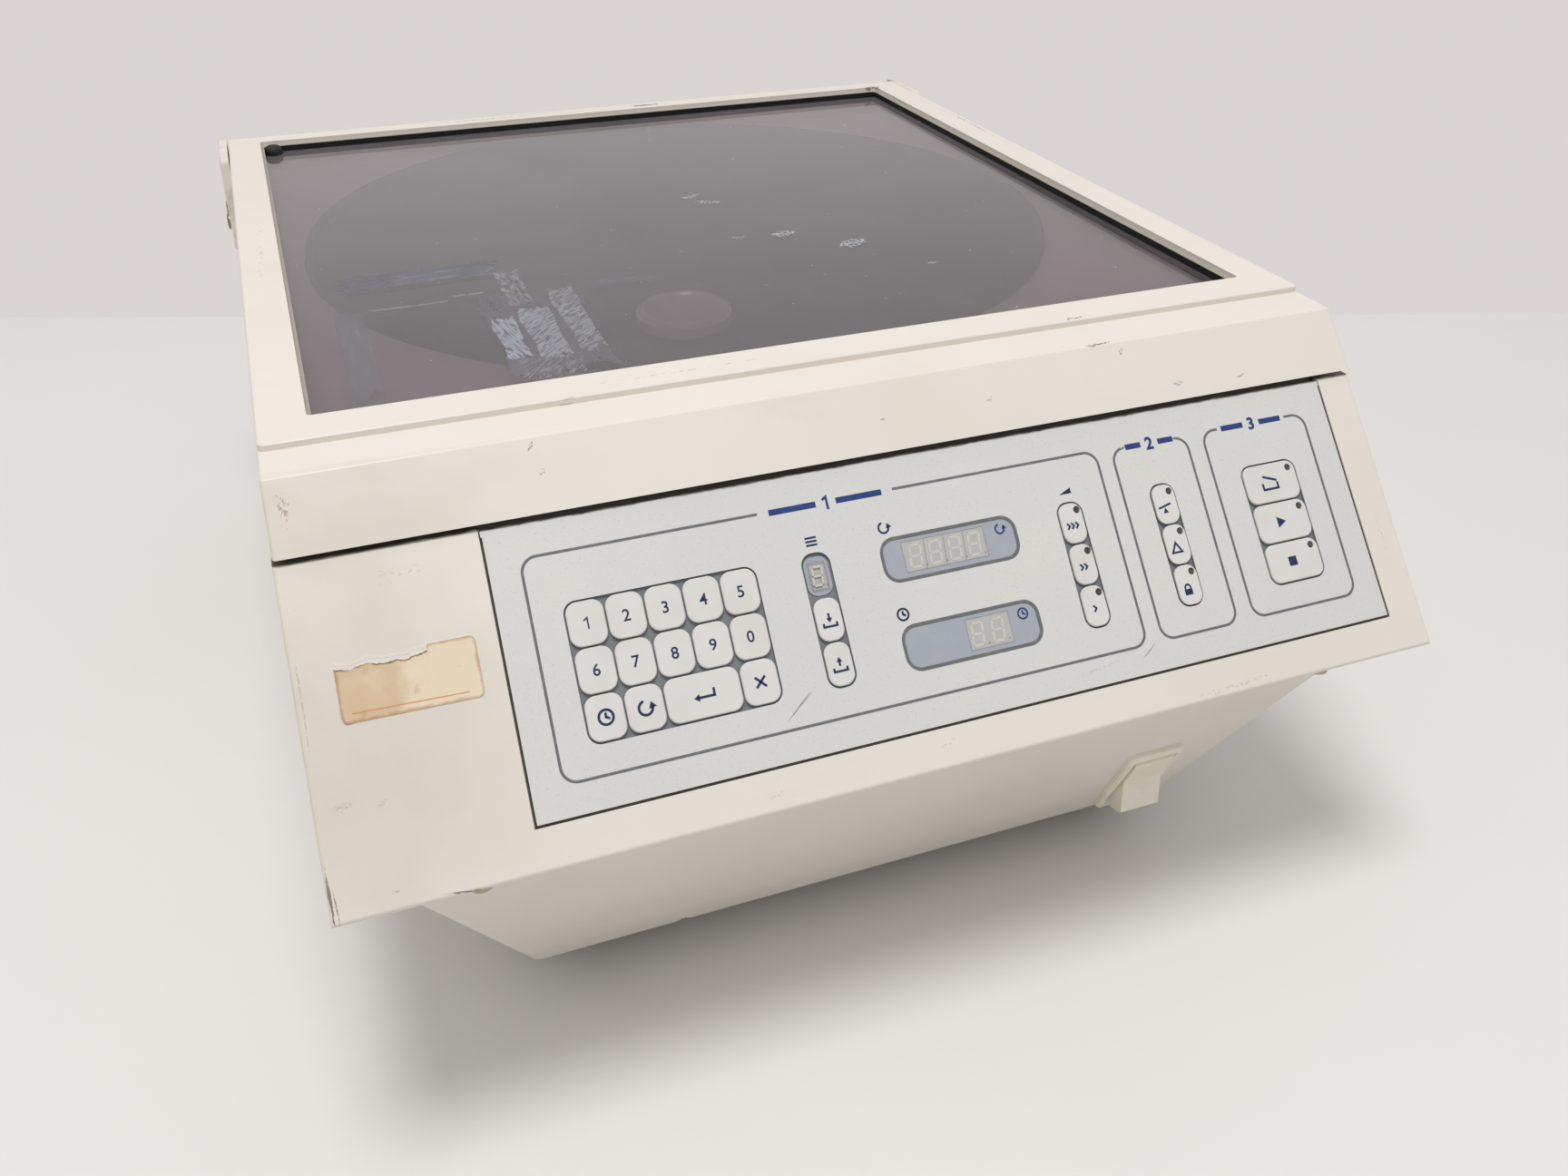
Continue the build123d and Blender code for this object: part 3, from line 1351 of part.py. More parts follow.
with BuildPart() as latch_hook:
    with BuildSketch(hook_plane):
        with BuildLine():
            Polyline(
                (-hook_nose, hook_nose_low),
                (-hook_nose + 2.5, hook_nose_high),
                (3.5, hook_nose_high),
                (4.2, 0),
                (-4.2, 0),
                (-3.5, hook_nose_low),
                close=True,
            )
        make_face()
        Circle(5)
        with Locations((fork_end / 2 * sin(half_latch), -fork_end / 2 * cos(half_latch))):
            Rectangle(hook_fork, fork_end, rotation=latch_swing / 2)
    extrude(amount=hook_width / 2, both=True)
    # open fork round the plunger's neck
    with BuildSketch(hook_plane):
        fork_cut = (fork_root + fork_end + 2) / 2
        with Locations((fork_cut * sin(half_latch), -fork_cut * cos(half_latch))):
            Rectangle(4 * hook_fork, fork_end + 2 - fork_root, rotation=latch_swing / 2)
    extrude(amount=fork_width, both=True, mode=Mode.SUBTRACT)
    with BuildSketch(hook_plane):
        Circle(hook_pin_radius)
    extrude(amount=latch_cheek_gap + latch_plate, both=True)
save(latch_hook, "latch_hook")
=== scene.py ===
import math

import bpy
import numpy as np
from mathutils import Matrix


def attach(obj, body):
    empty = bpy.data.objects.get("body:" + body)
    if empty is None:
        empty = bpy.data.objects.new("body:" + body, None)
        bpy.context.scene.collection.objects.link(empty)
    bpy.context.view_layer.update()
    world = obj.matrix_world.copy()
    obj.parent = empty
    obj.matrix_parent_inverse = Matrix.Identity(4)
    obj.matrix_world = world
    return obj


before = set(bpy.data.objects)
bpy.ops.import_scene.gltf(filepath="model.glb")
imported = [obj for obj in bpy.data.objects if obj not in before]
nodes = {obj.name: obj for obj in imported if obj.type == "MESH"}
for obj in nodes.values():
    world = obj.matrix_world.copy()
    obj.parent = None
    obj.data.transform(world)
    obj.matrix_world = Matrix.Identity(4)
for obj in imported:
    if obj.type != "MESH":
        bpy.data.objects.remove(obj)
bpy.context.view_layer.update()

print("frame loaded:", len(nodes), "nodes")

# The console's face in millimetres: where its top edge runs, and its slope below the horizontal
console = {"topY": -184.683, "topZ": 195.731, "slope": 50.7}
slopeCos = math.cos(math.radians(console["slope"]))
slopeSin = math.sin(math.radians(console["slope"]))


def onConsole(local):
    # place = top edge + x along the edge + up along the slope + out along the face's normal
    local = np.asarray(local, float).reshape(-1, 3)
    world = np.empty_like(local)
    world[:, 0] = local[:, 0]
    world[:, 1] = console["topY"] + local[:, 1] * slopeCos - local[:, 2] * slopeSin
    world[:, 2] = console["topZ"] + local[:, 1] * slopeSin + local[:, 2] * slopeCos
    return world / 1000


# shader helpers
def tone(red, green, blue):
    # a screen colour of 0 to 255 turned linear by the sRGB curve
    screen = np.array([red, green, blue]) / 255
    linear = np.where(screen <= 0.04045, screen / 12.92, ((screen + 0.055) / 1.055) ** 2.4)
    return (*map(float, linear), 1.0)


def addNode(tree, kind, inputs=None, **settings):
    node = tree.nodes.new(kind)
    for name, value in settings.items():
        setattr(node, name, value)
    for name, value in (inputs or {}).items():
        if isinstance(value, bpy.types.NodeSocket):
            tree.links.new(value, node.inputs[name])
        else:
            node.inputs[name].default_value = value
    return node


def calc(tree, operation, first, second=0.0, clamp=False):
    node = addNode(tree, "ShaderNodeMath", {0: first, 1: second}, operation=operation, use_clamp=clamp)
    return node.outputs[0]


def blendTone(tree, share, first, second):
    node = addNode(
        tree, "ShaderNodeMix", {0: share, 6: first, 7: second}, data_type="RGBA", clamp_factor=True
    )
    return node.outputs[2]


def fade(tree, value, low, high, floor=0.0, top=1.0):
    # floor below low, top above high and a smooth step between
    node = addNode(
        tree,
        "ShaderNodeMapRange",
        {"Value": value, "From Min": low, "From Max": high, "To Min": floor, "To Max": top},
        interpolation_type="SMOOTHSTEP",
    )
    return node.outputs[0]


def objectCoords(tree):
    return addNode(tree, "ShaderNodeTexCoord").outputs["Object"]


def stretch(tree, coords, scale):
    return addNode(tree, "ShaderNodeMapping", {"Vector": coords, "Scale": scale}).outputs[0]


def grain(tree, coords, scale, detail=3.0, rough=0.55, twist=0.0):
    node = addNode(
        tree,
        "ShaderNodeTexNoise",
        {"Vector": coords, "Scale": scale, "Detail": detail, "Roughness": rough, "Distortion": twist},
    )
    return node.outputs[0]


def axisPart(tree, coords, axis):
    return addNode(tree, "ShaderNodeSeparateXYZ", {0: coords}).outputs[axis]


def bump(tree, height, strength, distance, normal=None):
    inputs = {"Height": height, "Strength": strength, "Distance": distance}
    if normal is not None:
        inputs["Normal"] = normal
    return addNode(tree, "ShaderNodeBump", inputs).outputs[0]


def cornerWear(tree, radius, low, high):
    # 0 on flats, 1 where the rounded normal leaves the true one, as it does at an edge
    rounded = addNode(tree, "ShaderNodeBevel", {"Radius": radius}, samples=6)
    flat = addNode(tree, "ShaderNodeNewGeometry")
    alike = addNode(
        tree,
        "ShaderNodeVectorMath",
        {0: rounded.outputs[0], 1: flat.outputs["Normal"]},
        operation="DOT_PRODUCT",
    )
    return fade(tree, calc(tree, "SUBTRACT", 1.0, alike.outputs["Value"]), low, high)


def newFinish(name, roughness=0.5, metallic=0.0, specular=0.5):
    finish = bpy.data.materials.new(name)
    finish.use_nodes = True
    tree = finish.node_tree
    tree.nodes.clear()
    output = addNode(tree, "ShaderNodeOutputMaterial")
    shader = addNode(
        tree,
        "ShaderNodeBsdfPrincipled",
        {"Roughness": roughness, "Metallic": metallic, "Specular IOR Level": specular},
    )
    tree.links.new(shader.outputs[0], output.inputs[0])
    return finish, tree, shader


def feed(tree, socket, value):
    tree.links.new(value, socket)


def consoleDown(tree, coords):
    # how far a point lies down the console's face from its top edge, in metres
    along = addNode(
        tree, "ShaderNodeVectorMath", {0: coords, 1: (0.0, slopeCos, slopeSin)}, operation="DOT_PRODUCT"
    ).outputs["Value"]
    zero = (console["topY"] * slopeCos + console["topZ"] * slopeSin) / 1000
    return calc(tree, "SUBTRACT", zero, along)


def seamGrimeAndShade(tree, coords, reach):
    # dark dirt and painted shade along the console's top edge under the brow, its lower limit wandering with a grain
    ragged = calc(tree, "MULTIPLY", grain(tree, coords, 120.0, 4.0, 0.65), 0.0016)
    line = calc(tree, "ADD", consoleDown(tree, coords), ragged)
    near = fade(tree, line, reach / 1000, (reach + 0.9) / 1000, 1.0, 0.0)
    behind = fade(tree, line, -0.0055, -0.0042)
    shallow = fade(tree, consoleHeight(tree, coords), -0.006, -0.0045)
    return calc(tree, "MULTIPLY", calc(tree, "MULTIPLY", near, behind), shallow)


def consoleHeight(tree, coords):
    # how far a point stands out of the console's face, in metres
    up = addNode(
        tree,
        "ShaderNodeVectorMath",
        {0: coords, 1: (0.0, -slopeSin, slopeCos)},
        operation="DOT_PRODUCT",
    ).outputs["Value"]
    zero = (console["topZ"] * slopeCos - console["topY"] * slopeSin) / 1000
    return calc(tree, "SUBTRACT", up, zero)


def markShare(tree, coords, mark):
    # share = soft ellipsoid round the mark's place, its outline bent and its body cut up by stretched grains
    turn = Matrix.Rotation(math.radians(mark.get("tilt", 0.0)), 3, "X") @ Matrix.Rotation(
        math.radians(mark.get("spin", 0.0)), 3, "Z"
    )
    local = addNode(
        tree,
        "ShaderNodeMapping",
        {
            "Vector": coords,
            "Location": tuple(v / 1000 for v in mark["at"]),
            "Rotation": turn.to_euler(),
            "Scale": tuple(v / 1000 for v in mark["half"]),
        },
        vector_type="TEXTURE",
    ).outputs[0]
    wander = addNode(
        tree, "ShaderNodeTexNoise", {"Vector": local, "Scale": 1.6, "Detail": 3.0}, noise_dimensions="3D"
    ).outputs["Color"]
    wander = addNode(
        tree, "ShaderNodeVectorMath", {0: wander, 1: (0.5, 0.5, 0.5)}, operation="SUBTRACT"
    ).outputs[0]
    bent = addNode(
        tree,
        "ShaderNodeVectorMath",
        {0: wander, 1: (mark.get("bend", 1.0),) * 2 + (0.0,), 2: local},
        operation="MULTIPLY_ADD",
    ).outputs[0]
    away = addNode(tree, "ShaderNodeVectorMath", {0: bent}, operation="LENGTH").outputs["Value"]
    lined = stretch(tree, local, mark["grain"])
    if "strokes" in mark:
        # a strip: straight sides, filled with strokes of a given turn, width and length
        sides = addNode(tree, "ShaderNodeVectorMath", {0: bent}, operation="ABSOLUTE").outputs[0]
        away = calc(tree, "MAXIMUM", axisPart(tree, sides, 0), axisPart(tree, sides, 1))
        turned, wide, long = mark["strokes"]
        lined = addNode(
            tree,
            "ShaderNodeMapping",
            {
                "Vector": coords,
                "Rotation": (0.0, 0.0, math.radians(turned)),
                "Scale": (wide / 1000, long / 1000, 1.0),
            },
            vector_type="TEXTURE",
        ).outputs[0]
    body = fade(tree, away, 1.0, mark.get("core", 0.2), 0.0, 1.0)
    streaks = grain(tree, lined, 1.0, 4.0, 0.62, 0.4)
    cut = fade(tree, calc(tree, "MULTIPLY", streaks, body), mark["cut"], mark["cut"] + mark.get("soft", 0.06))
    return calc(tree, "MULTIPLY", cut, mark["amount"])


def consoleMark(x, down, halfX, halfUp, spin, grainScale, cut, amount, colour):
    place = onConsole([[x, -down, 0.0]])[0] * 1000
    return {
        "at": tuple(place),
        "half": (halfX, halfUp, 4.0),
        "tilt": console["slope"],
        "spin": spin,
        "grain": grainScale,
        "cut": cut,
        "amount": amount,
        "colour": colour,
    }


# painted metal
scuffDark = tone(96, 88, 82)
scuffBrown = tone(150, 126, 100)
scuffGrey = tone(140, 134, 128)
paintLook = {
    "colour": tone(232, 226, 217),
    "aged": tone(225, 216, 203),
    "soot": tone(190, 182, 172),
    "chip": tone(112, 100, 88),
    # dark tone of the seam under the brow: dirt and painted shade
    "grimeAndShade": tone(52, 44, 38),
    "patchScale": 7.0,
    "patchShare": 0.55,
    "speckScale": 520.0,
    "peelScale": 900.0,
    "peelDepth": 0.00004,
    "roughness": 0.42,
    "wearRadius": 0.0012,
}


def paintFinish(name, look, marks, chipCut=0.64, seam=None):
    finish, tree, shader = newFinish(name, look["roughness"], 0.0, 0.45)
    coords = objectCoords(tree)
    patches = fade(tree, grain(tree, coords, look["patchScale"], 4.0), 0.42, 0.72, 0.0, look["patchShare"])
    colour = blendTone(tree, patches, look["colour"], look["aged"])
    smear = fade(tree, grain(tree, stretch(tree, coords, (14, 40, 40)), 1.0, 5.0, 0.6), 0.56, 0.8, 0.0, 0.10)
    colour = blendTone(tree, smear, colour, look["soot"])
    specks = fade(tree, grain(tree, coords, look["speckScale"], 2.0), 0.72, 0.8, 0.0, 0.45)
    thin = fade(tree, grain(tree, coords, 30.0, 2.0), 0.5, 0.7)
    colour = blendTone(tree, calc(tree, "MULTIPLY", specks, thin), colour, look["soot"])
    edges = cornerWear(tree, look["wearRadius"], 0.02, 0.16)
    chips = fade(tree, grain(tree, coords, 170.0, 4.0, 0.65), chipCut, chipCut + 0.05)
    places = fade(tree, grain(tree, coords, 14.0, 2.0), 0.50, 0.62)
    worn = calc(tree, "MULTIPLY", calc(tree, "MULTIPLY", edges, chips), places)
    colour = blendTone(tree, calc(tree, "MULTIPLY", edges, 0.10), colour, look["aged"])
    colour = blendTone(tree, calc(tree, "MULTIPLY", worn, 0.85), colour, look["chip"])
    for mark in marks:
        colour = blendTone(tree, markShare(tree, coords, mark), colour, mark["colour"])
    if seam is not None:
        # the seam under the brow darkened: dirt and painted shade
        seamDirtAndShade = calc(tree, "MULTIPLY", seamGrimeAndShade(tree, coords, seam), 0.93)
        colour = blendTone(tree, seamDirtAndShade, colour, look["grimeAndShade"])
    feed(tree, shader.inputs["Base Color"], colour)
    dull = fade(tree, grain(tree, coords, 22.0, 3.0), 0.3, 0.75, look["roughness"] - 0.07, look["roughness"] + 0.1)
    feed(tree, shader.inputs["Roughness"], dull)
    peel = grain(tree, coords, look["peelScale"], 2.0)
    feed(tree, shader.inputs["Normal"], bump(tree, peel, 0.35, look["peelDepth"]))
    return finish


def browMark(x, down, halfX, halfUp, spin, grainScale, cut, amount, colour):
    mark = consoleMark(x, 0.0, halfX, halfUp, spin, grainScale, cut, amount, colour)
    mark["at"] = (x, -169.37 - down * slopeCos, 217.6 - down * slopeSin)
    return mark


def topMark(x, y, halfX, halfY, spin, grainScale, cut, amount, colour):
    return {
        "at": (x, y, 219.5),
        "half": (halfX, halfY, 4.0),
        "spin": spin,
        "grain": grainScale,
        "cut": cut,
        "amount": amount,
        "colour": colour,
    }


# each mark: place, half sizes, turn, grain, cut, amount, colour
caseMarks = [
    consoleMark(-186.0, 71.8, 7.0, 4.0, 14, (7.0, 6.0, 1.0), 0.475, 0.6, scuffBrown),
    consoleMark(-175.6, 73.3, 3.4, 1.8, 34, (4.0, 4.0, 1.0), 0.455, 0.66, scuffGrey),
    consoleMark(-194.0, 96.0, 0.9, 15.0, 1, (1.4, 8.0, 1.0), 0.335, 0.95, scuffDark),
    consoleMark(-192.7, 99.0, 0.5, 13.0, 3, (1.2, 9.0, 1.0), 0.415, 0.84, scuffDark),
    consoleMark(-193.6, 106.0, 2.0, 1.4, 0, (1.5, 2.0, 1.0), 0.275, 0.95, scuffDark),
    consoleMark(-175.8, 98.4, 2.0, 1.0, 0, (2.5, 2.5, 1.0), 0.425, 0.72, scuffGrey),
    consoleMark(-156.0, 103.4, 14.0, 0.8, -7, (9.0, 1.6, 1.0), 0.395, 0.78, scuffDark),
    consoleMark(-192.9, 40.0, 0.8, 34.0, 0, (1.2, 16.0, 1.0), 0.445, 0.6, scuffGrey),
    consoleMark(110.0, 101.0, 40.0, 3.0, 2, (26.0, 4.0, 1.0), 0.53, 0.4, scuffGrey),
    consoleMark(-60.0, 98.5, 7.0, 3.0, 24, (6.0, 5.0, 1.0), 0.54, 0.4, scuffBrown),
    consoleMark(0.0, 96.0, 8.0, 4.0, 24, (6.0, 5.0, 1.0), 0.54, 0.35, scuffBrown),
    consoleMark(188.0, 60.0, 2.0, 30.0, 0, (3.0, 16.0, 1.0), 0.52, 0.35, scuffGrey),
    # a broad soft darker patch over the console's left half: painted shade
    dict(consoleMark(-176.0, 52.0, 70.0, 80.0, 0, (1.2, 1.2, 1.0), 0.0, 1.0, tone(212, 203, 190)), soft=1.0),
    consoleMark(-160.0, 8.0, 20.0, 8.0, 0, (9.0, 8.0, 1.0), 0.56, 0.3, scuffBrown),
]
lidMarks = [
    # a broad soft darker patch over the brow's left part: painted shade
    dict(browMark(-170.0, 14.0, 90.0, 40.0, 0, (1.2, 1.2, 1.0), 0.0, 1.0, tone(214, 205, 193)), soft=1.0),
    topMark(94.0, -149.0, 12.0, 3.0, 4, (12.0, 3.0, 1.0), 0.475, 0.84, scuffDark),
    topMark(34.0, 229.0, 20.0, 4.0, 0, (9.0, 4.0, 1.0), 0.395, 0.95, scuffDark),
    topMark(-60.0, 230.0, 80.0, 3.0, 0, (40.0, 4.0, 1.0), 0.475, 0.72, scuffBrown),
    topMark(176.0, 222.0, 11.0, 12.0, 0, (6.0, 6.0, 1.0), 0.435, 0.9, scuffBrown),
    topMark(191.0, 120.0, 3.0, 90.0, 0, (2.0, 40.0, 1.0), 0.475, 0.6, scuffGrey),
    topMark(-186.0, 40.0, 6.0, 160.0, 0, (2.0, 34.0, 1.0), 0.55, 0.3, scuffGrey),
    topMark(-60.0, -143.0, 100.0, 3.0, 0, (40.0, 3.0, 1.0), 0.53, 0.35, scuffBrown),
    browMark(92.9, -0.4, 12.0, 1.6, 4, (14.0, 3.0, 1.0), 0.445, 0.9, scuffDark),
    browMark(100.5, 4.0, 2.0, 6.0, -24, (2.0, 6.0, 1.0), 0.475, 0.6, scuffDark),
    browMark(120.1, 19.0, 4.0, 2.6, 10, (4.0, 3.0, 1.0), 0.455, 0.84, tone(150, 176, 182)),
    browMark(147.0, 20.0, 3.5, 0.9, 20, (4.0, 2.0, 1.0), 0.425, 0.72, scuffDark),
    browMark(4.2, 13.5, 2.0, 1.4, 30, (3.0, 3.0, 1.0), 0.455, 0.72, scuffDark),
    browMark(44.9, 12.9, 3.0, 2.0, 40, (4.0, 3.0, 1.0), 0.475, 0.6, scuffGrey),
    browMark(-114.0, 3.1, 4.0, 1.6, 60, (5.0, 3.0, 1.0), 0.445, 0.72, scuffBrown),
    browMark(-112.0, 12.0, 3.0, 3.0, 60, (4.0, 4.0, 1.0), 0.505, 0.6, scuffDark),
    browMark(-189.0, 10.0, 4.0, 14.0, 0, (3.0, 8.0, 1.0), 0.475, 0.6, scuffBrown),
]
casePaint = paintFinish("creamPaint", paintLook, caseMarks, seam=-0.3)
tubMarks = [
    {"at": (-76.6, -188.8, 17.6), "half": (4.4, 3.0, 3.0), "grain": (2, 2, 1), "cut": 0.27, "amount": 0.85, "colour": scuffDark},
    {"at": (70.0, -232.0, 96.0), "half": (60.0, 20.0, 16.0), "grain": (22, 8, 6), "cut": 0.55, "amount": 0.3, "colour": scuffGrey},
]
tubPaint = paintFinish("tubCreamPaint", paintLook, tubMarks, chipCut=0.74)
lidPaint = paintFinish("lidCreamPaint", dict(paintLook, aged=tone(227, 218, 206)), lidMarks)
# the hinge cheeks in a darker, browner tone over most of their paint: painted shade for plates sitting low beside
# the lid
cheekLook = dict(paintLook, patchScale=60.0, patchShare=0.9, aged=tone(206, 196, 180))
cheekPaint = paintFinish("cheekPaint", cheekLook, [], 0.56)
print("paint ready")

# panel film, key film and print
panelLook = {
    "colour": tone(217, 216, 213),
    "worn": tone(223, 221, 216),
    "speck": tone(184, 184, 184),
    "field": tone(124, 129, 133),
    "key": tone(224, 222, 217),
    "keyShade": tone(216, 214, 209),
    "roughness": 0.46,
}


def filmGrain(tree, shader, coords, depth=0.00003):
    # matt texture of polyester film
    pimples = grain(tree, coords, 1300.0, 2.0)
    feed(tree, shader.inputs["Normal"], bump(tree, pimples, 0.3, depth))


def panelFinish(look):
    finish, tree, shader = newFinish("panelFilm", look["roughness"], 0.0, 0.4)
    coords = objectCoords(tree)
    wear = fade(tree, grain(tree, coords, 11.0, 4.0, 0.6), 0.42, 0.7, 0.0, 0.7)
    colour = blendTone(tree, wear, look["colour"], look["worn"])
    specks = fade(tree, grain(tree, coords, 1500.0, 1.0), 0.60, 0.72, 0.0, 0.32)
    colour = blendTone(tree, specks, colour, look["speck"])
    for scratch in look["scratches"]:
        colour = blendTone(tree, markShare(tree, coords, scratch), colour, scratch["colour"])
    out = consoleHeight(tree, coords)
    sunk = fade(tree, out, -0.00050, -0.00025, 1.0, 0.0)
    colour = blendTone(tree, sunk, colour, look["field"])
    raised = fade(tree, out, 0.00006, 0.00012)
    colour = blendTone(tree, raised, colour, look["key"])
    # the film's top edge under the brow darkened: dirt and painted shade
    colour = blendTone(tree, calc(tree, "MULTIPLY", seamGrimeAndShade(tree, coords, 0.5), 0.95), colour, paintLook["grimeAndShade"])
    feed(tree, shader.inputs["Base Color"], colour)
    filmGrain(tree, shader, coords)
    return finish


panelLook["scratches"] = [
    consoleMark(-46.5, 73.6, 9.5, 0.35, 39, (3.0, 1.2, 1.0), 0.24, 0.75, tone(120, 118, 118)),
    consoleMark(-44.0, 72.0, 6.0, 0.3, 36, (3.0, 1.2, 1.0), 0.30, 0.5, tone(150, 148, 148)),
    consoleMark(80.5, 82.6, 6.0, 0.3, 35, (3.0, 1.2, 1.0), 0.26, 0.75, tone(130, 130, 130)),
    consoleMark(60.0, 84.5, 20.0, 2.4, 8, (14.0, 4.0, 1.0), 0.50, 0.4, tone(180, 176, 168)),
    consoleMark(-118.0, 56.0, 2.0, 16.0, 4, (2.0, 9.0, 1.0), 0.52, 0.3, tone(240, 238, 232)),
]
panelFilm = panelFinish(panelLook)


def keyFinish(look):
    finish, tree, shader = newFinish("keyFilm", 0.43, 0.0, 0.4)
    coords = objectCoords(tree)
    handled = fade(tree, grain(tree, coords, 60.0, 3.0), 0.4, 0.7, 0.0, 0.6)
    colour = blendTone(tree, handled, look["key"], look["keyShade"])
    # darker grey on the keys' rounded edges: grime and painted shade
    grimeAndShade = calc(tree, "MULTIPLY", cornerWear(tree, 0.0008, 0.02, 0.3), 0.35)
    colour = blendTone(tree, grimeAndShade, colour, tone(150, 152, 152))
    feed(tree, shader.inputs["Base Color"], colour)
    filmGrain(tree, shader, coords)
    return finish


keyFilm = keyFinish(panelLook)


def printFinish(name, colour, faded):
    finish, tree, shader = newFinish(name, 0.5, 0.0, 0.35)
    coords = objectCoords(tree)
    wear = fade(tree, grain(tree, coords, 420.0, 3.0, 0.6), 0.45, 0.75, 0.0, 0.55)
    feed(tree, shader.inputs["Base Color"], blendTone(tree, wear, colour, faded))
    filmGrain(tree, shader, coords)
    return finish


greyPrint = printFinish("greyPrint", tone(106, 109, 110), tone(136, 138, 138))
bluePrint = printFinish("bluePrint", tone(34, 60, 122), tone(62, 86, 142))
legendPrint = printFinish("legendPrint", tone(30, 42, 84), tone(60, 72, 108))
digitPrint = printFinish("digitPrint", tone(205, 202, 195), tone(196, 190, 182))
seamPrint = printFinish("seamShadow", tone(38, 32, 28), tone(70, 62, 54))


def windowFilmFinish():
    # printed blue-grey film with a clear, greyish patch in front of each display module
    finish, tree, shader = newFinish("displayFilm", 0.22, 0.0, 0.5)
    coords = objectCoords(tree)
    place = addNode(tree, "ShaderNodeSeparateXYZ", {0: coords})
    down = consoleDown(tree, coords)
    clear = None
    for x, s, width, length in displayPatches:
        acrossGap = calc(tree, "ABSOLUTE", calc(tree, "SUBTRACT", place.outputs[0], x / 1000))
        downGap = calc(tree, "ABSOLUTE", calc(tree, "SUBTRACT", down, s / 1000))
        inside = calc(
            tree,
            "MULTIPLY",
            fade(tree, acrossGap, width / 2000 - 0.0001, width / 2000 + 0.0001, 1.0, 0.0),
            fade(tree, downGap, length / 2000 - 0.0001, length / 2000 + 0.0001, 1.0, 0.0),
        )
        clear = inside if clear is None else calc(tree, "MAXIMUM", clear, inside)
    dust = fade(tree, grain(tree, coords, 160.0, 4.0), 0.45, 0.75, 0.0, 0.35)
    printed = blendTone(tree, dust, tone(167, 172, 181), tone(180, 184, 190))
    module = blendTone(tree, dust, tone(186, 185, 182), tone(194, 192, 188))
    feed(tree, shader.inputs["Base Color"], blendTone(tree, clear, printed, module))
    fine = grain(tree, coords, 900.0, 2.0)
    feed(tree, shader.inputs["Normal"], bump(tree, fine, 0.12, 0.00002))
    return finish


# middle x, distance down the face, width and length of each clear patch, mm
displayPatches = [(15.5, 34.1, 30.4, 10.2), (24.0, 63.8, 16.0, 10.4), (-30.4, 34.2, 5.6, 9.0)]
displayFilm = windowFilmFinish()
print("panel finishes ready")


# plastics, rubber and metals
def plasticFinish(name, colour, shade, roughness, scale=260.0, depth=0.00004, marks=()):
    finish, tree, shader = newFinish(name, roughness, 0.0, 0.5)
    coords = objectCoords(tree)
    cloud = fade(tree, grain(tree, coords, 38.0, 4.0), 0.35, 0.72)
    mixed = blendTone(tree, cloud, colour, shade)
    for mark in marks:
        mixed = blendTone(tree, markShare(tree, coords, mark), mixed, mark["colour"])
    feed(tree, shader.inputs["Base Color"], mixed)
    fine = grain(tree, coords, scale, 3.0)
    feed(tree, shader.inputs["Roughness"], fade(tree, fine, 0.3, 0.7, roughness - 0.06, roughness + 0.08))
    feed(tree, shader.inputs["Normal"], bump(tree, fine, 0.3, depth))
    return finish


switchPlastic = plasticFinish("agedSwitchPlastic", tone(249, 245, 230), tone(240, 234, 215), 0.34)
blackPlastic = plasticFinish("blackPlastic", tone(38, 38, 40), tone(52, 51, 50), 0.45)
blackRubber = plasticFinish("blackRubber", tone(24, 23, 23), tone(40, 38, 36), 0.7, 420.0, 0.00008)
bowlPlastic = plasticFinish("bowlPlastic", tone(66, 60, 60), tone(76, 69, 68), 0.66, 2600.0, 0.000002)
ledLens = plasticFinish("indicatorLens", tone(78, 74, 72), tone(56, 52, 52), 0.3, 900.0, 0.00002)
displayBody = plasticFinish("displayBody", tone(180, 179, 176), tone(188, 186, 182), 0.35, 700.0)


def gasketFinish():
    # black towards the window, its flat top a greyed cream: painted shade, standing in for the frame's inner face in
    # shade
    finish, tree, shader = newFinish("windowGasket", 0.7, 0.0, 0.3)
    coords = objectCoords(tree)
    ragged = calc(tree, "MULTIPLY", grain(tree, coords, 140.0, 4.0, 0.65), 0.0004)
    height = calc(tree, "SUBTRACT", axisPart(tree, coords, 2), ragged)
    painted = fade(tree, height, 0.21715, 0.2173, 0.0, 0.95)
    colour = blendTone(tree, painted, tone(24, 22, 22), tone(172, 165, 154))
    feed(tree, shader.inputs["Base Color"], colour)
    feed(tree, shader.inputs["Normal"], bump(tree, grain(tree, coords, 420.0), 0.3, 0.00008))
    return finish


windowGasket = gasketFinish()


def metalFinish(name, colour, shade, roughness, brushed=(40.0, 40.0, 900.0), metallic=1.0):
    # stretched grain for the brushing, a cloud of tarnish over it
    finish, tree, shader = newFinish(name, roughness, metallic, 0.5)
    coords = objectCoords(tree)
    lines = grain(tree, stretch(tree, coords, brushed), 1.0, 3.0, 0.6)
    tarnish = fade(tree, grain(tree, coords, 45.0, 4.0), 0.4, 0.75, 0.0, 0.8)
    feed(tree, shader.inputs["Base Color"], blendTone(tree, tarnish, colour, shade))
    feed(tree, shader.inputs["Roughness"], fade(tree, lines, 0.3, 0.7, roughness - 0.08, roughness + 0.1))
    feed(tree, shader.inputs["Normal"], bump(tree, lines, 0.25, 0.00003))
    return finish


steel = metalFinish("brushedSteel", tone(176, 176, 178), tone(140, 138, 136), 0.32)
zincScrew = metalFinish("zincScrew", tone(178, 170, 150), tone(128, 114, 92), 0.38, (300.0, 300.0, 300.0))


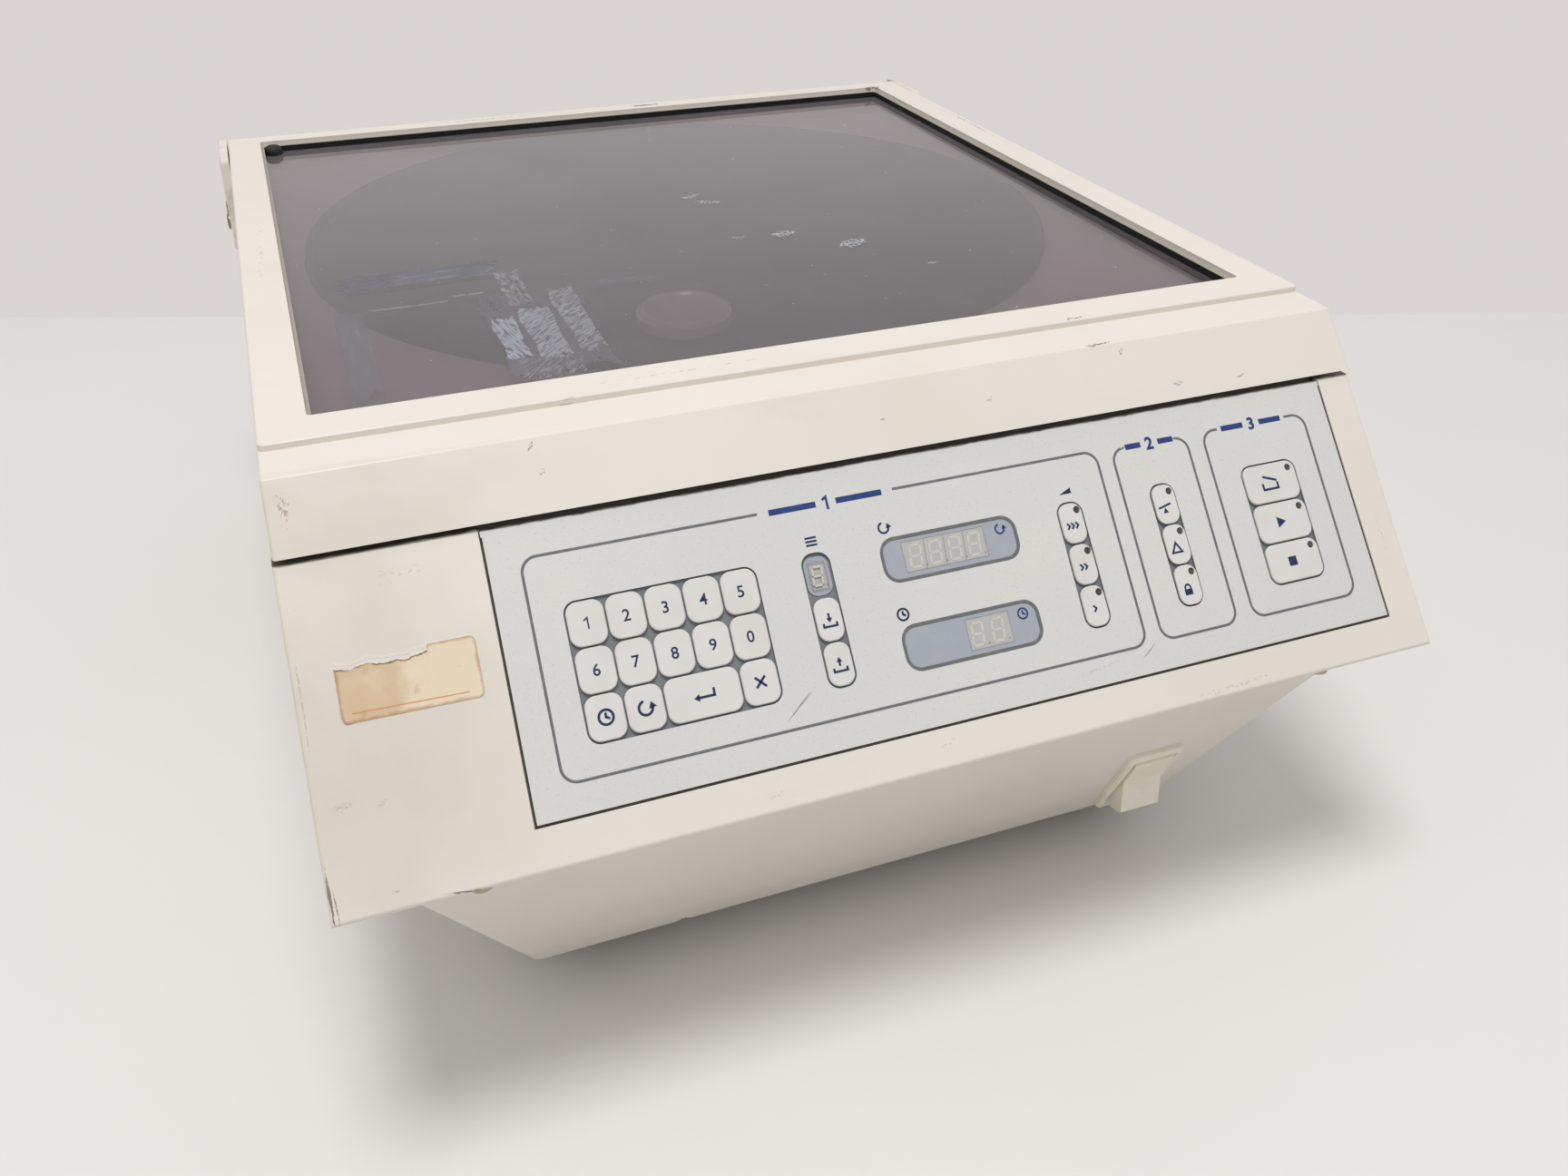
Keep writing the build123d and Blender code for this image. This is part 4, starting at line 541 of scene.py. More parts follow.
def turnedFinish(name, centre, colour, shade):
    # fine grooves in rings: a wave of the distance from the spindle's axis
    finish, tree, shader = newFinish(name, 0.34, 1.0, 0.5)
    coords = objectCoords(tree)
    local = addNode(
        tree, "ShaderNodeMapping", {"Vector": coords, "Location": (0.0, -centre, 0.0)}, vector_type="POINT"
    ).outputs[0]
    rings = addNode(
        tree,
        "ShaderNodeTexWave",
        {"Vector": local, "Scale": 240.0, "Distortion": 0.6, "Detail": 2.0},
        wave_type="RINGS",
        rings_direction="Z",
    ).outputs["Fac"]
    stain = fade(tree, grain(tree, coords, 90.0, 4.0), 0.42, 0.72, 0.0, 0.8)
    flat = addNode(tree, "ShaderNodeVectorMath", {0: local, 1: (1.0, 1.0, 0.0)}, operation="MULTIPLY").outputs[0]
    reach = addNode(tree, "ShaderNodeVectorMath", {0: flat}, operation="LENGTH").outputs["Value"]
    # a painted highlight: a near-white, non-metallic ring at the outer edge of the hub's top
    rim = fade(tree, reach, 0.0208, 0.0215)
    stained = blendTone(tree, stain, colour, shade)
    feed(tree, shader.inputs["Base Color"], blendTone(tree, rim, stained, tone(253, 251, 244)))
    feed(tree, shader.inputs["Metallic"], fade(tree, rim, 0.0, 1.0, 0.85, 0.0))
    feed(tree, shader.inputs["Roughness"], fade(tree, rings, 0.1, 0.9, 0.30, 0.42))
    feed(tree, shader.inputs["Normal"], bump(tree, rings, 0.2, 0.00003))
    return finish


hubMetal = turnedFinish("turnedHub", 0.04473, tone(246, 246, 242), tone(226, 222, 212))
motorPaint = paintFinish(
    "motorPaint",
    dict(
        paintLook,
        colour=tone(64, 66, 70),
        aged=tone(78, 78, 80),
        soot=tone(44, 44, 46),
        chip=tone(130, 128, 124),
        peelScale=420.0,
        peelDepth=0.00012,
        roughness=0.5,
    ),
    [],
    0.6,
)


def boardFinish():
    # green lacquer with straight copper tracks under it
    finish, tree, shader = newFinish("circuitBoard", 0.3, 0.0, 0.5)
    coords = objectCoords(tree)
    blocks = addNode(
        tree,
        "ShaderNodeTexBrick",
        {
            "Vector": coords,
            "Scale": 90.0,
            "Mortar Size": 0.06,
            "Color1": tone(30, 84, 52),
            "Color2": tone(26, 74, 46),
            "Mortar": tone(58, 122, 74),
        },
    ).outputs["Color"]
    dust = fade(tree, grain(tree, coords, 60.0, 3.0), 0.4, 0.75, 0.0, 0.3)
    feed(tree, shader.inputs["Base Color"], blendTone(tree, dust, blocks, tone(90, 104, 84)))
    feed(tree, shader.inputs["Normal"], bump(tree, grain(tree, coords, 700.0), 0.15, 0.00003))
    return finish


def windingFinish():
    # laminated core at the ends, varnished copper in the middle
    finish, tree, shader = newFinish("transformerWinding", 0.4, 0.6, 0.5)
    coords = objectCoords(tree)
    sheets = addNode(
        tree, "ShaderNodeTexWave", {"Vector": coords, "Scale": 260.0, "Distortion": 0.3}, bands_direction="Y"
    ).outputs["Fac"]
    colour = blendTone(tree, sheets, tone(120, 84, 52), tone(158, 106, 60))
    dust = fade(tree, grain(tree, coords, 50.0, 3.0), 0.4, 0.75, 0.0, 0.4)
    feed(tree, shader.inputs["Base Color"], blendTone(tree, dust, colour, tone(96, 84, 74)))
    feed(tree, shader.inputs["Normal"], bump(tree, sheets, 0.4, 0.0001))
    return finish


circuitBoard = boardFinish()
winding = windingFinish()

# smoked window
windowLook = {
    "tint": tone(170, 162, 168),
    "haze": tone(232, 225, 236),
    "residue": tone(194, 198, 208),
    "darkResidue": tone(122, 122, 138),
    "topZ": 214.5,
    "roughness": 0.035,
}


def windowMark(x, y, halfX, halfY, spin, grainScale, cut, amount, core=0.5):
    return {
        "at": (x, y, windowLook["topZ"]),
        "half": (halfX, halfY, 1.5),
        "spin": spin,
        "grain": grainScale,
        "cut": cut,
        "amount": amount,
        "core": core,
    }


def windowFinish(look):
    finish, tree, shader = newFinish("smokedWindow", look["roughness"], 0.0, 0.5)
    coords = objectCoords(tree)
    top = fade(tree, axisPart(tree, coords, 2), look["topZ"] / 1000 - 0.0009, look["topZ"] / 1000 - 0.0004)
    pale = None
    for mark in look["paleMarks"]:
        share = markShare(tree, coords, mark)
        pale = share if pale is None else calc(tree, "MAXIMUM", pale, share)
    dark = None
    for mark in look["darkMarks"]:
        share = markShare(tree, coords, mark)
        dark = share if dark is None else calc(tree, "MAXIMUM", dark, share)
    haze = fade(tree, grain(tree, coords, 9.0, 5.0, 0.6, 0.6), 0.3, 0.8, 0.165, 0.225)
    # the haze thinner at the window's front and thicker towards its rear
    haze = calc(tree, "ADD", haze, fade(tree, axisPart(tree, coords, 1), -0.16, 0.2, -0.06, 0.04))
    haze = calc(tree, "MULTIPLY", haze, top)
    dots = fade(tree, grain(tree, coords, 340.0, 1.0), 0.77, 0.80, 0.0, 0.7)
    pale = calc(tree, "MULTIPLY", calc(tree, "MAXIMUM", pale, dots), top)
    dark = calc(tree, "MULTIPLY", dark, top)
    colour = blendTone(tree, haze, look["tint"], look["haze"])
    colour = blendTone(tree, dark, colour, look["darkResidue"])
    colour = blendTone(tree, pale, colour, look["residue"])
    feed(tree, shader.inputs["Base Color"], colour)
    covered = calc(tree, "MAXIMUM", calc(tree, "MULTIPLY", pale, 0.5), calc(tree, "MULTIPLY", dark, 0.6))
    rough = fade(tree, covered, 0.0, 0.6, look["roughness"], 0.5)
    covered = calc(tree, "MAXIMUM", covered, haze)
    feed(tree, shader.inputs["Transmission Weight"], calc(tree, "SUBTRACT", 1.0, covered, True))
    feed(tree, shader.inputs["Roughness"], rough)
    shader.inputs["IOR"].default_value = 1.49
    return finish


def windowStrip(left, right, front, rear, turned, wide, long, cut, amount, core=0.85, bend=0.35):
    mark = windowMark((left + right) / 2, (front + rear) / 2, (right - left) / 2, (rear - front) / 2, 0, (1.0, 1.0, 1.0), cut, amount)
    return dict(mark, strokes=(turned, wide, long), core=core, bend=bend)


windowLook["paleMarks"] = [
    windowStrip(-108.0, -97.5, -102.0, -56.0, 12, 0.8, 7.0, 0.42, 1.05, 0.8, 0.9),
    windowStrip(-97.0, -82.6, -106.0, -48.0, -41, 0.8, 7.0, 0.44, 0.95, 0.8, 0.9),
    windowStrip(-98.0, -86.0, -50.0, -4.0, 12, 1.0, 6.0, 0.48, 0.75, 0.8, 0.6),
    windowStrip(-81.6, -69.5, -104.0, -30.0, -44, 0.8, 5.0, 0.46, 0.9, 0.8, 1.0),
    windowStrip(-108.0, -80.0, -121.0, -100.0, -35, 0.9, 6.0, 0.51, 0.7, 0.8, 0.6),
    windowStrip(-150.0, -117.0, -34.2, -32.4, 90, 0.5, 7.0, 0.42, 0.75, 0.85, 0.8),
    windowStrip(-117.0, -103.0, -29.6, -27.6, 90, 0.6, 6.0, 0.42, 0.75, 0.85, 0.8),
    windowStrip(-144.0, -88.0, -12.0, 6.0, 92, 0.9, 12.0, 0.52, 0.5, 0.7, 0.6),
    windowStrip(-66.0, -34.0, -37.0, -31.0, 88, 0.8, 10.0, 0.52, 0.35),
    windowStrip(-33.0, -4.0, -52.0, -49.0, 88, 0.5, 9.0, 0.50, 0.35),
    windowStrip(-164.0, -150.0, -112.0, -22.0, 3, 1.4, 14.0, 0.56, 0.3),
    windowMark(11.8, 65.9, 8.0, 4.0, 30, (5.0, 4.0, 1.0), 0.49, 1.6),
    windowMark(17.0, 54.0, 10.0, 4.0, -20, (7.0, 4.0, 1.0), 0.50, 1.6),
    windowMark(33.9, -2.7, 9.0, 5.0, 10, (6.0, 4.0, 1.0), 0.47, 1.6),
    windowMark(57.9, -25.3, 11.0, 6.0, 24, (6.0, 5.0, 1.0), 0.47, 1.6),
    windowMark(13.7, -0.3, 5.0, 3.0, 0, (4.0, 4.0, 1.0), 0.50, 1.3),
    windowMark(78.9, -61.1, 3.0, 2.0, 0, (2.6, 2.6, 1.0), 0.46, 1.3),
    dict(windowMark(18.0, -72.0, 7.0, 25.0, -28, (2.0, 1.0, 1.0), 0.1, 0.3, 0.2), soft=0.5),
    windowMark(-15.0, 184.0, 60.0, 2.5, -6, (7.0, 1.5, 1.0), 0.48, 0.3),
]
windowLook["darkMarks"] = [
    windowStrip(-166.0, -86.0, -10.0, 10.0, 91, 2.0, 18.0, 0.36, 0.8, 0.7, 0.7),
    windowStrip(-164.0, -150.0, -125.0, -20.0, 0, 3.0, 20.0, 0.30, 0.5, 0.6, 0.5),
    windowStrip(-112.0, -66.0, -122.0, -26.0, 8, 2.5, 12.0, 0.34, 0.6, 0.75, 0.6),
    windowStrip(-68.0, -28.0, -42.0, -28.0, 90, 1.6, 16.0, 0.42, 0.45, 0.6, 0.6),
]
smokedWindow = windowFinish(windowLook)
print("window ready")

finishes = {
    "case_paint": casePaint,
    "lid_paint": lidPaint,
    "panel_film": panelFilm,
    "key_film": keyFilm,
    "display_window": displayFilm,
    "display_body": displayBody,
    "led_lens": ledLens,
    "circuit_board": circuitBoard,
    "black_rubber": blackRubber,
    "smoked_acrylic": smokedWindow,
    "steel": steel,
    "hub_metal": hubMetal,
    "bowl_plastic": bowlPlastic,
    "zinc_screw": zincScrew,
    "switch_plastic": switchPlastic,
    "black_plastic": blackPlastic,
    "motor_paint": motorPaint,
    "winding": winding,
}
for name, node in nodes.items():
    for place in node.material_slots:
        place.material = finishes[place.name.split(".")[0]]
for name in ("hinge_cheek_left", "hinge_cheek_right"):
    nodes[name].material_slots[0].material = cheekPaint
nodes["window_gasket"].material_slots[0].material = windowGasket
nodes["base_tub"].material_slots[0].material = tubPaint
print("finishes assigned")


# flat print: closed plates a few hundredths of a millimetre thick
inkRise = 0.05
inkSink = 0.04


def printedLine(path, width, closed=False):
    # four rails at half the width to each side of the path, mitred at its points, above and below the surface
    path = np.asarray(path, float)
    ahead = np.roll(path, -1, axis=0) - path
    if not closed:
        ahead[-1] = ahead[-2]
    ahead /= np.linalg.norm(ahead, axis=1)[:, None]
    behind = np.roll(ahead, 1, axis=0)
    if not closed:
        behind[0] = ahead[0]
    left = np.stack([-ahead[:, 1], ahead[:, 0]], 1)
    leftBehind = np.stack([-behind[:, 1], behind[:, 0]], 1)
    mitre = left + leftBehind
    mitre /= np.maximum(np.linalg.norm(mitre, axis=1)[:, None], 1e-9)
    mitre /= np.maximum((mitre * left).sum(1)[:, None], 0.5)
    offset = mitre * width / 2
    count = len(path)
    points = np.zeros((count, 4, 3))
    points[:, 0, :2] = points[:, 3, :2] = path + offset
    points[:, 1, :2] = points[:, 2, :2] = path - offset
    points[:, :2, 2] = inkRise
    points[:, 2:, 2] = -inkSink
    steps = np.arange(count if closed else count - 1)
    rails = np.arange(4)
    here, there = np.meshgrid(steps * 4, rails, indexing="ij")
    onward = (here + 4) % (count * 4)
    across = (there + 1) % 4
    faces = np.stack([here + there, here + across, onward + across, onward + there], -1).reshape(-1, 4).tolist()
    if not closed:
        last = (count - 1) * 4
        faces += [[0, 3, 2, 1], [last, last + 1, last + 2, last + 3]]
    return points.reshape(-1, 3), faces


def printedPatch(outline):
    # a plate with the outline given anticlockwise
    outline = np.asarray(outline, float)
    count = len(outline)
    points = np.zeros((2 * count, 3))
    points[:count, :2] = points[count:, :2] = outline
    points[:count, 2] = inkRise
    points[count:, 2] = -inkSink
    around = np.arange(count)
    ahead = (around + 1) % count
    faces = [around.tolist(), (around[::-1] + count).tolist()]
    faces += np.stack([around + count, ahead + count, ahead, around], 1).tolist()
    return points, faces


def arcPath(x, y, radius, start, end, count=24):
    turn = np.radians(np.linspace(start, end, count))
    return np.stack([x + radius * np.cos(turn), y + radius * np.sin(turn)], 1)


def roundedPath(x, y, width, height, radius, count=9):
    # quarter arcs at the four corners, clockwise from the top right
    corners = []
    for signX, signY, start in ((1, 1, 90), (1, -1, 0), (-1, -1, -90), (-1, 1, -180)):
        middleX = x + signX * (width / 2 - radius)
        middleY = y + signY * (height / 2 - radius)
        corners.append(arcPath(middleX, middleY, radius, start, start - 90, count))
    return np.concatenate(corners)


def gatherShapes(shapes):
    points, faces, start = [], [], 0
    for place, polygons in shapes:
        points.append(np.asarray(place, float))
        faces += [[index + start for index in polygon] for polygon in polygons]
        start += len(place)
    return np.concatenate(points), faces


def movedShape(shape, x, y, out=0.0, turn=0.0, size=1.0):
    points, faces = shape
    points = np.array(points, float)
    c, s = math.cos(math.radians(turn)), math.sin(math.radians(turn))
    turned = points.copy()
    turned[:, 0] = (points[:, 0] * c - points[:, 1] * s) * size + x
    turned[:, 1] = (points[:, 0] * s + points[:, 1] * c) * size + y
    turned[:, 2] = points[:, 2] + out
    return turned, faces


def addPiece(name, points, faces, finish, body):
    mesh = bpy.data.meshes.new(name)
    mesh.from_pydata(np.asarray(points, float).tolist(), [], faces)
    mesh.update()
    mesh.materials.append(finish)
    piece = bpy.data.objects.new(name, mesh)
    bpy.context.scene.collection.objects.link(piece)
    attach(piece, body)
    return piece


def addPrint(name, shapes, finish, body):
    points, faces = gatherShapes(shapes)
    return addPiece(name, onConsole(points), faces, finish, body)


def numeralShape(text, height, bold=0.0):
    # Blender's own typeface, scaled so that its digits are the height asked for
    curve = bpy.data.curves.new("numeral", "FONT")
    curve.body = text
    curve.align_x = "CENTER"
    curve.align_y = "CENTER"
    curve.resolution_u = 4
    curve.offset = bold
    holder = bpy.data.objects.new("numeral", curve)
    bpy.context.scene.collection.objects.link(holder)
    bpy.context.view_layer.update()
    flat = bpy.data.meshes.new_from_object(holder.evaluated_get(bpy.context.evaluated_depsgraph_get()))
    flatPoints = np.zeros(len(flat.vertices) * 3)
    flat.vertices.foreach_get("co", flatPoints)
    flatPoints = flatPoints.reshape(-1, 3)
    polygons = [list(polygon.vertices) for polygon in flat.polygons]
    facing = sum(polygon.normal.z * polygon.area for polygon in flat.polygons)
    bpy.data.objects.remove(holder)
    bpy.data.meshes.remove(flat)
    bpy.data.curves.remove(curve)
    if facing < 0:
        polygons = [polygon[::-1] for polygon in polygons]
    low, high = flatPoints.min(0), flatPoints.max(0)
    flatPoints = (flatPoints - (low + high) / 2) * (height / (high[1] - low[1]))
    count = len(flatPoints)
    points = np.concatenate([flatPoints, flatPoints])
    points[:count, 2] = inkRise
    points[count:, 2] = -inkSink
    edgeUse = {}
    for polygon in polygons:
        for first, second in zip(polygon, polygon[1:] + polygon[:1]):
            edgeUse[(first, second)] = True
    rim = [(a, b) for a, b in edgeUse if (b, a) not in edgeUse]
    faces = polygons + [[index + count for index in polygon[::-1]] for polygon in polygons]
    faces += [[a + count, b + count, b, a] for a, b in rim]
    return points, faces


def oneShape(height, width):
    # the numeral 1 as a stem with a flag
    half = height / 2 - width / 2
    return printedLine([[-0.24 * height, 0.22 * height], [0.08 * height, half], [0.08 * height, -height / 2]], width)


# panel outlines and headings
outlineLook = {"width": 0.9, "windowRing": 1.1, "radius": 5.0, "seam": 0.4}
# left, right, top and bottom of each group in mm, and the gap left for its heading
groups = {
    "program": (-124.0, 80.5, 10.7, 80.4, -46.3, 1.9),
    "alarm": (86.9, 118.0, 11.5, 80.2, 91.6, 113.9),
    "control": (125.0, 169.5, 11.2, 80.0, 131.8, 161.2),
}
headings = {
    "program": (-22.2, 11.0, "1", 16.5),
    "alarm": (102.7, 11.5, "2", 6.3),
    "control": (146.5, 11.3, "3", 9.4),
}


def groupOutline(left, right, top, bottom, gapLeft, gapRight):
    middleX, middleY = (left + right) / 2, -(top + bottom) / 2
    path = roundedPath(middleX, middleY, right - left, bottom - top, outlineLook["radius"])
    path = np.concatenate([[[gapRight, -top]], path, [[gapLeft, -top]]])
    return printedLine(path, outlineLook["width"])


greyShapes = [groupOutline(*group) for group in groups.values()]
# a ring round each display window: middle x, down, width, length, radius
rings = [
    (17.6, 34.3, 48.9, 13.5, 4.5),
    (17.9, 63.9, 49.0, 13.7, 4.5),
]
for x, down, width, length, radius in rings:
    grow = outlineLook["windowRing"] - 0.2
    path = roundedPath(x, -down, width + grow, length + grow, radius + grow / 2)
    greyShapes.append(printedLine(path, outlineLook["windowRing"], True))
addPrint("panel_outlines", greyShapes, greyPrint, "base")

# painted shade and dirt in the joint between the panel and its recess, along three sides
halfSeam = outlineLook["seam"] / 2
seamPath = [[-134.3 + halfSeam, -2.0], [-134.3 + halfSeam, -90.5 + halfSeam], [180.3 - halfSeam, -90.5 + halfSeam]]
seamPath.append([180.3 - halfSeam, -2.0])
addPrint("panel_edge", [printedLine(seamPath, outlineLook["seam"])], seamPrint, "base")

blueShapes = []
for x, down, number, bar in headings.values():
    numeral = oneShape(4.7, 0.85) if number == "1" else numeralShape(number, 4.7, 0.035)
    blueShapes.append(movedShape(numeral, x, -down))
    for side in (-1, 1):
        middle = x + side * (bar / 2 + 3.6)
        blueShapes.append(printedLine([[middle - bar / 2, -down], [middle + bar / 2, -down]], 2.0))

# pictograms, drawn round their own middle in mm
lineWidth = 0.62


def arrowHead(x, y, turn, size=1.0):
    # triangle with its tip at x, y
    c, s = math.cos(math.radians(turn)), math.sin(math.radians(turn))
    corners = np.array([[0.0, 0.0], [-1.3, 0.85], [-1.3, -0.85]]) * size
    return printedPatch(np.stack([corners[:, 0] * c - corners[:, 1] * s + x, corners[:, 0] * s + corners[:, 1] * c + y], 1))


def clockMark():
    return [
        printedLine(arcPath(0, 0, 1.75, 0, 345, 24), lineWidth, True),
        printedLine([[0, -0.2], [0, 1.1]], lineWidth),
        printedLine([[-0.2, 0.1], [0.9, -0.45]], lineWidth),
    ]


def turnMark():
    return [printedLine(arcPath(0, 0, 1.6, 100, 370, 22), lineWidth), arrowHead(1.42, 1.3, 100, 1.15)]


def rampMark(steps):
    if steps == 0:
        return [printedPatch([[-2.4, -0.9], [2.4, -0.9], [2.4, 1.1]])]
    marks = []
    for step in range(steps):
        x = 1.5 * (step - (steps - 1) / 2)
        marks.append(printedLine([[x - 0.45, 1.0], [x + 0.45, 0.0], [x - 0.45, -1.0]], lineWidth))
    return marks


def trayMark(up):
    tip, tail = (1.9, -0.5) if up else (-0.9, 1.7)
    shaftEnd = tip - 1.0 if up else tip + 1.0
    return [
        printedLine([[0, tail], [0, shaftEnd]], lineWidth),
        arrowHead(0, tip, 90 if up else -90),
        printedLine([[-1.9, -0.9], [-1.9, -1.9], [1.9, -1.9], [1.9, -0.9]], lineWidth),
    ]


def enterMark():
    return [
        printedLine([[2.6, 1.3], [2.6, -0.5], [-1.6, -0.5]], lineWidth),
        arrowHead(-2.6, -0.5, 180, 1.1),
    ]


def crossMark():
    return [
        printedLine([[-1.3, -1.3], [1.3, 1.3]], lineWidth),
        printedLine([[-1.3, 1.3], [1.3, -1.3]], lineWidth),
    ]


def openLidMark():
    return [
        printedLine([[-2.3, 0.0], [-2.3, -1.7], [2.3, -1.7], [2.3, 0.0]], lineWidth),
        printedLine([[2.3, 0.4], [-1.8, 1.9]], lineWidth),
    ]


def startMark():
    return [printedPatch([[-1.2, -1.5], [1.5, 0.0], [-1.2, 1.5]])]


def stopMark():
    return [printedPatch([[-1.25, -1.25], [1.25, -1.25], [1.25, 1.25], [-1.25, 1.25]])]


def balanceMark():
    return [
        printedLine([[-2.2, 0.2], [2.2, 1.2]], lineWidth),
        printedPatch([[-0.9, -1.5], [0.9, -1.5], [0.0, 0.3]]),
    ]


def alertMark():
    return [printedLine([[-1.7, -1.3], [1.7, -1.3], [0.0, 1.7]], lineWidth, True)]


def lockMark():
    return [
        printedPatch([[-1.4, -1.7], [1.4, -1.7], [1.4, 0.2], [-1.4, 0.2]]),
        printedLine(np.concatenate([[[0.95, 0.2]], arcPath(0, 0.7, 0.95, 0, 180, 12), [[-0.95, 0.2]]]), lineWidth),
    ]


def listMark():
    return [printedLine([[-1.8, y], [1.8, y]], lineWidth) for y in (-1.1, 0.0, 1.1)]


def placed(marks, x, down, out=0.0, size=1.0):
    return [movedShape(mark, x, -down, out, 0.0, size) for mark in marks]


addPrint("panel_headings", blueShapes, bluePrint, "base")
labelShapes = placed(listMark(), -30.3, 22.8, 0.0, 1.1)
labelShapes += placed(turnMark(), -4.4, 23.0, 0.0, 1.1)
labelShapes += placed(clockMark(), -4.9, 52.4, 0.0, 1.1)
labelShapes += placed(rampMark(0), 64.7, 22.8, 0.0, 1.0)
keyFace = 0.5
labelShapes += placed(balanceMark(), 101.6, 35.6, keyFace, 1.15)
labelShapes += placed(alertMark(), 101.7, 50.2, keyFace, 1.15)
labelShapes += placed(lockMark(), 101.7, 65.2, keyFace, 1.1)
addPrint("panel_labels", labelShapes, legendPrint, "base")
windowFace = -0.15
unitShapes = placed(turnMark(), 37.0, 31.0, windowFace, 1.0) + placed(clockMark(), 37.4, 60.6, windowFace, 1.0)
addPrint("display_unit_marks", unitShapes, bluePrint, "base")

# key legends, one piece for each key so that it travels with its key
rowDown = (34.2, 48.85, 63.5)
keypadX = -82.5
pitchX = 12.53
legends = {}
for row, digits in enumerate(("12345", "67890")):
    for column, digit in enumerate(digits):
        x = keypadX + (column - 2) * pitchX
        numeral = oneShape(3.8, 0.5) if digit == "1" else numeralShape(digit, 3.8, 0.012)
        legends["key_" + digit] = [movedShape(numeral, x, -rowDown[row], keyFace)]
legends["key_set_time"] = placed(clockMark(), keypadX - 2 * pitchX, rowDown[2], keyFace, 1.3)
legends["key_set_speed"] = placed(turnMark(), keypadX - pitchX, rowDown[2], keyFace, 1.35)
legends["key_enter"] = placed(enterMark(), keypadX + pitchX / 2, rowDown[2], keyFace, 1.3)
legends["key_cancel"] = placed(crossMark(), keypadX + 2 * pitchX, rowDown[2], keyFace, 1.3)
legends["key_load"] = placed(trayMark(False), -30.4, rowDown[1], keyFace, 1.2)
legends["key_save"] = placed(trayMark(True), -30.4, rowDown[2], keyFace, 1.2)
for steps, (name, down) in enumerate(
    (("key_accel_low", rowDown[2]), ("key_accel_medium", rowDown[1]), ("key_accel_high", rowDown[0]))
):
    legends[name] = placed(rampMark(steps + 1), 64.2, down + 0.9, keyFace, 1.1)
legends["key_open_lid"] = placed(openLidMark(), 146.9, rowDown[0], keyFace, 1.35)
legends["key_start"] = placed(startMark(), 146.9, rowDown[1], keyFace, 1.35)
legends["key_stop"] = placed(stopMark(), 146.9, rowDown[2], keyFace, 1.35)
for name, shapes in legends.items():
    addPrint("legend_" + name[4:], shapes, legendPrint, name)
print("print ready:", len(legends), "legends")

# seven-segment digits, unlit, behind the display film
digitLook = {"width": 3.9, "height": 7.4, "stroke": 0.85, "gap": 0.18, "slant": 0.1}


def segmentBar(x, y, length, upright):
    # a bar with pointed ends
    half, thick = length / 2 - digitLook["gap"], digitLook["stroke"] / 2
    outline = np.array(
        [[-half, 0], [-half + thick, -thick], [half - thick, -thick], [half, 0], [half - thick, thick], [-half + thick, thick]]
    )
    if upright:
        outline = np.stack([-outline[:, 1], outline[:, 0]], 1)
    outline = outline + [x, y]
    outline[:, 0] += digitLook["slant"] * outline[:, 1]
    return printedPatch(outline)


def sevenSegments():
    w, h = digitLook["width"] / 2, digitLook["height"] / 2
    bars = [segmentBar(0, y, 2 * w, False) for y in (-h, 0, h)]
    bars += [segmentBar(x, y, h, True) for x in (-w, w) for y in (-h / 2, h / 2)]
    return bars


digitShapes = []
dotShapes = []
for x, down, size in (
    [(4.6 + 7.3 * place, 34.2, 1.0) for place in range(4)]
    + [(19.6 + 7.6 * place, 63.9, 1.0) for place in range(2)]
    + [(-30.7, 34.3, 0.82)]
):
    digitShapes += [movedShape(shape, x, -down, windowFace, 0.0, size) for shape in sevenSegments()]
    dot = printedPatch(arcPath(digitLook["width"] / 2 + 1.4, -digitLook["height"] / 2, 0.32, 0, 330, 12))
    dotShapes.append(movedShape(dot, x, -down, windowFace, 0.0, size))
addPrint("display_digits", digitShapes, digitPrint, "base")
# edges of the modules and the joints between their digits
for x, down, width, length in displayPatches:
    dotShapes.append(printedLine(roundedPath(x, -down, width, length, 0.2, 3), 0.2, True))
for x in (8.2, 15.5, 22.8):
    dotShapes.append(printedLine([[x - 0.5, -39.2], [x + 0.4, -29.0]], 0.18))
dotShapes = [
    shape if index < 7 else movedShape(shape, 0.0, 0.0, windowFace) for index, shape in enumerate(dotShapes)
]
modulePrint = printFinish("moduleEdge", tone(140, 139, 138), tone(166, 165, 163))
addPrint("display_module_edges", dotShapes, modulePrint, "base")

# paper label, bare, its upper edge torn
labelLook = {
    "left": -182.9,
    "right": -141.5,
    "top": 30.4,
    "bottom": 49.0,
    "thickness": 0.12,
    "paper": tone(214, 189, 156),
    "pale": tone(232, 216, 190),
    "stain": tone(168, 118, 74),
    "tear": tone(233, 228, 218),
    "crease": tone(104, 72, 44),
    "columns": 96,
    "rows": 40,
    "seed": 11,
}


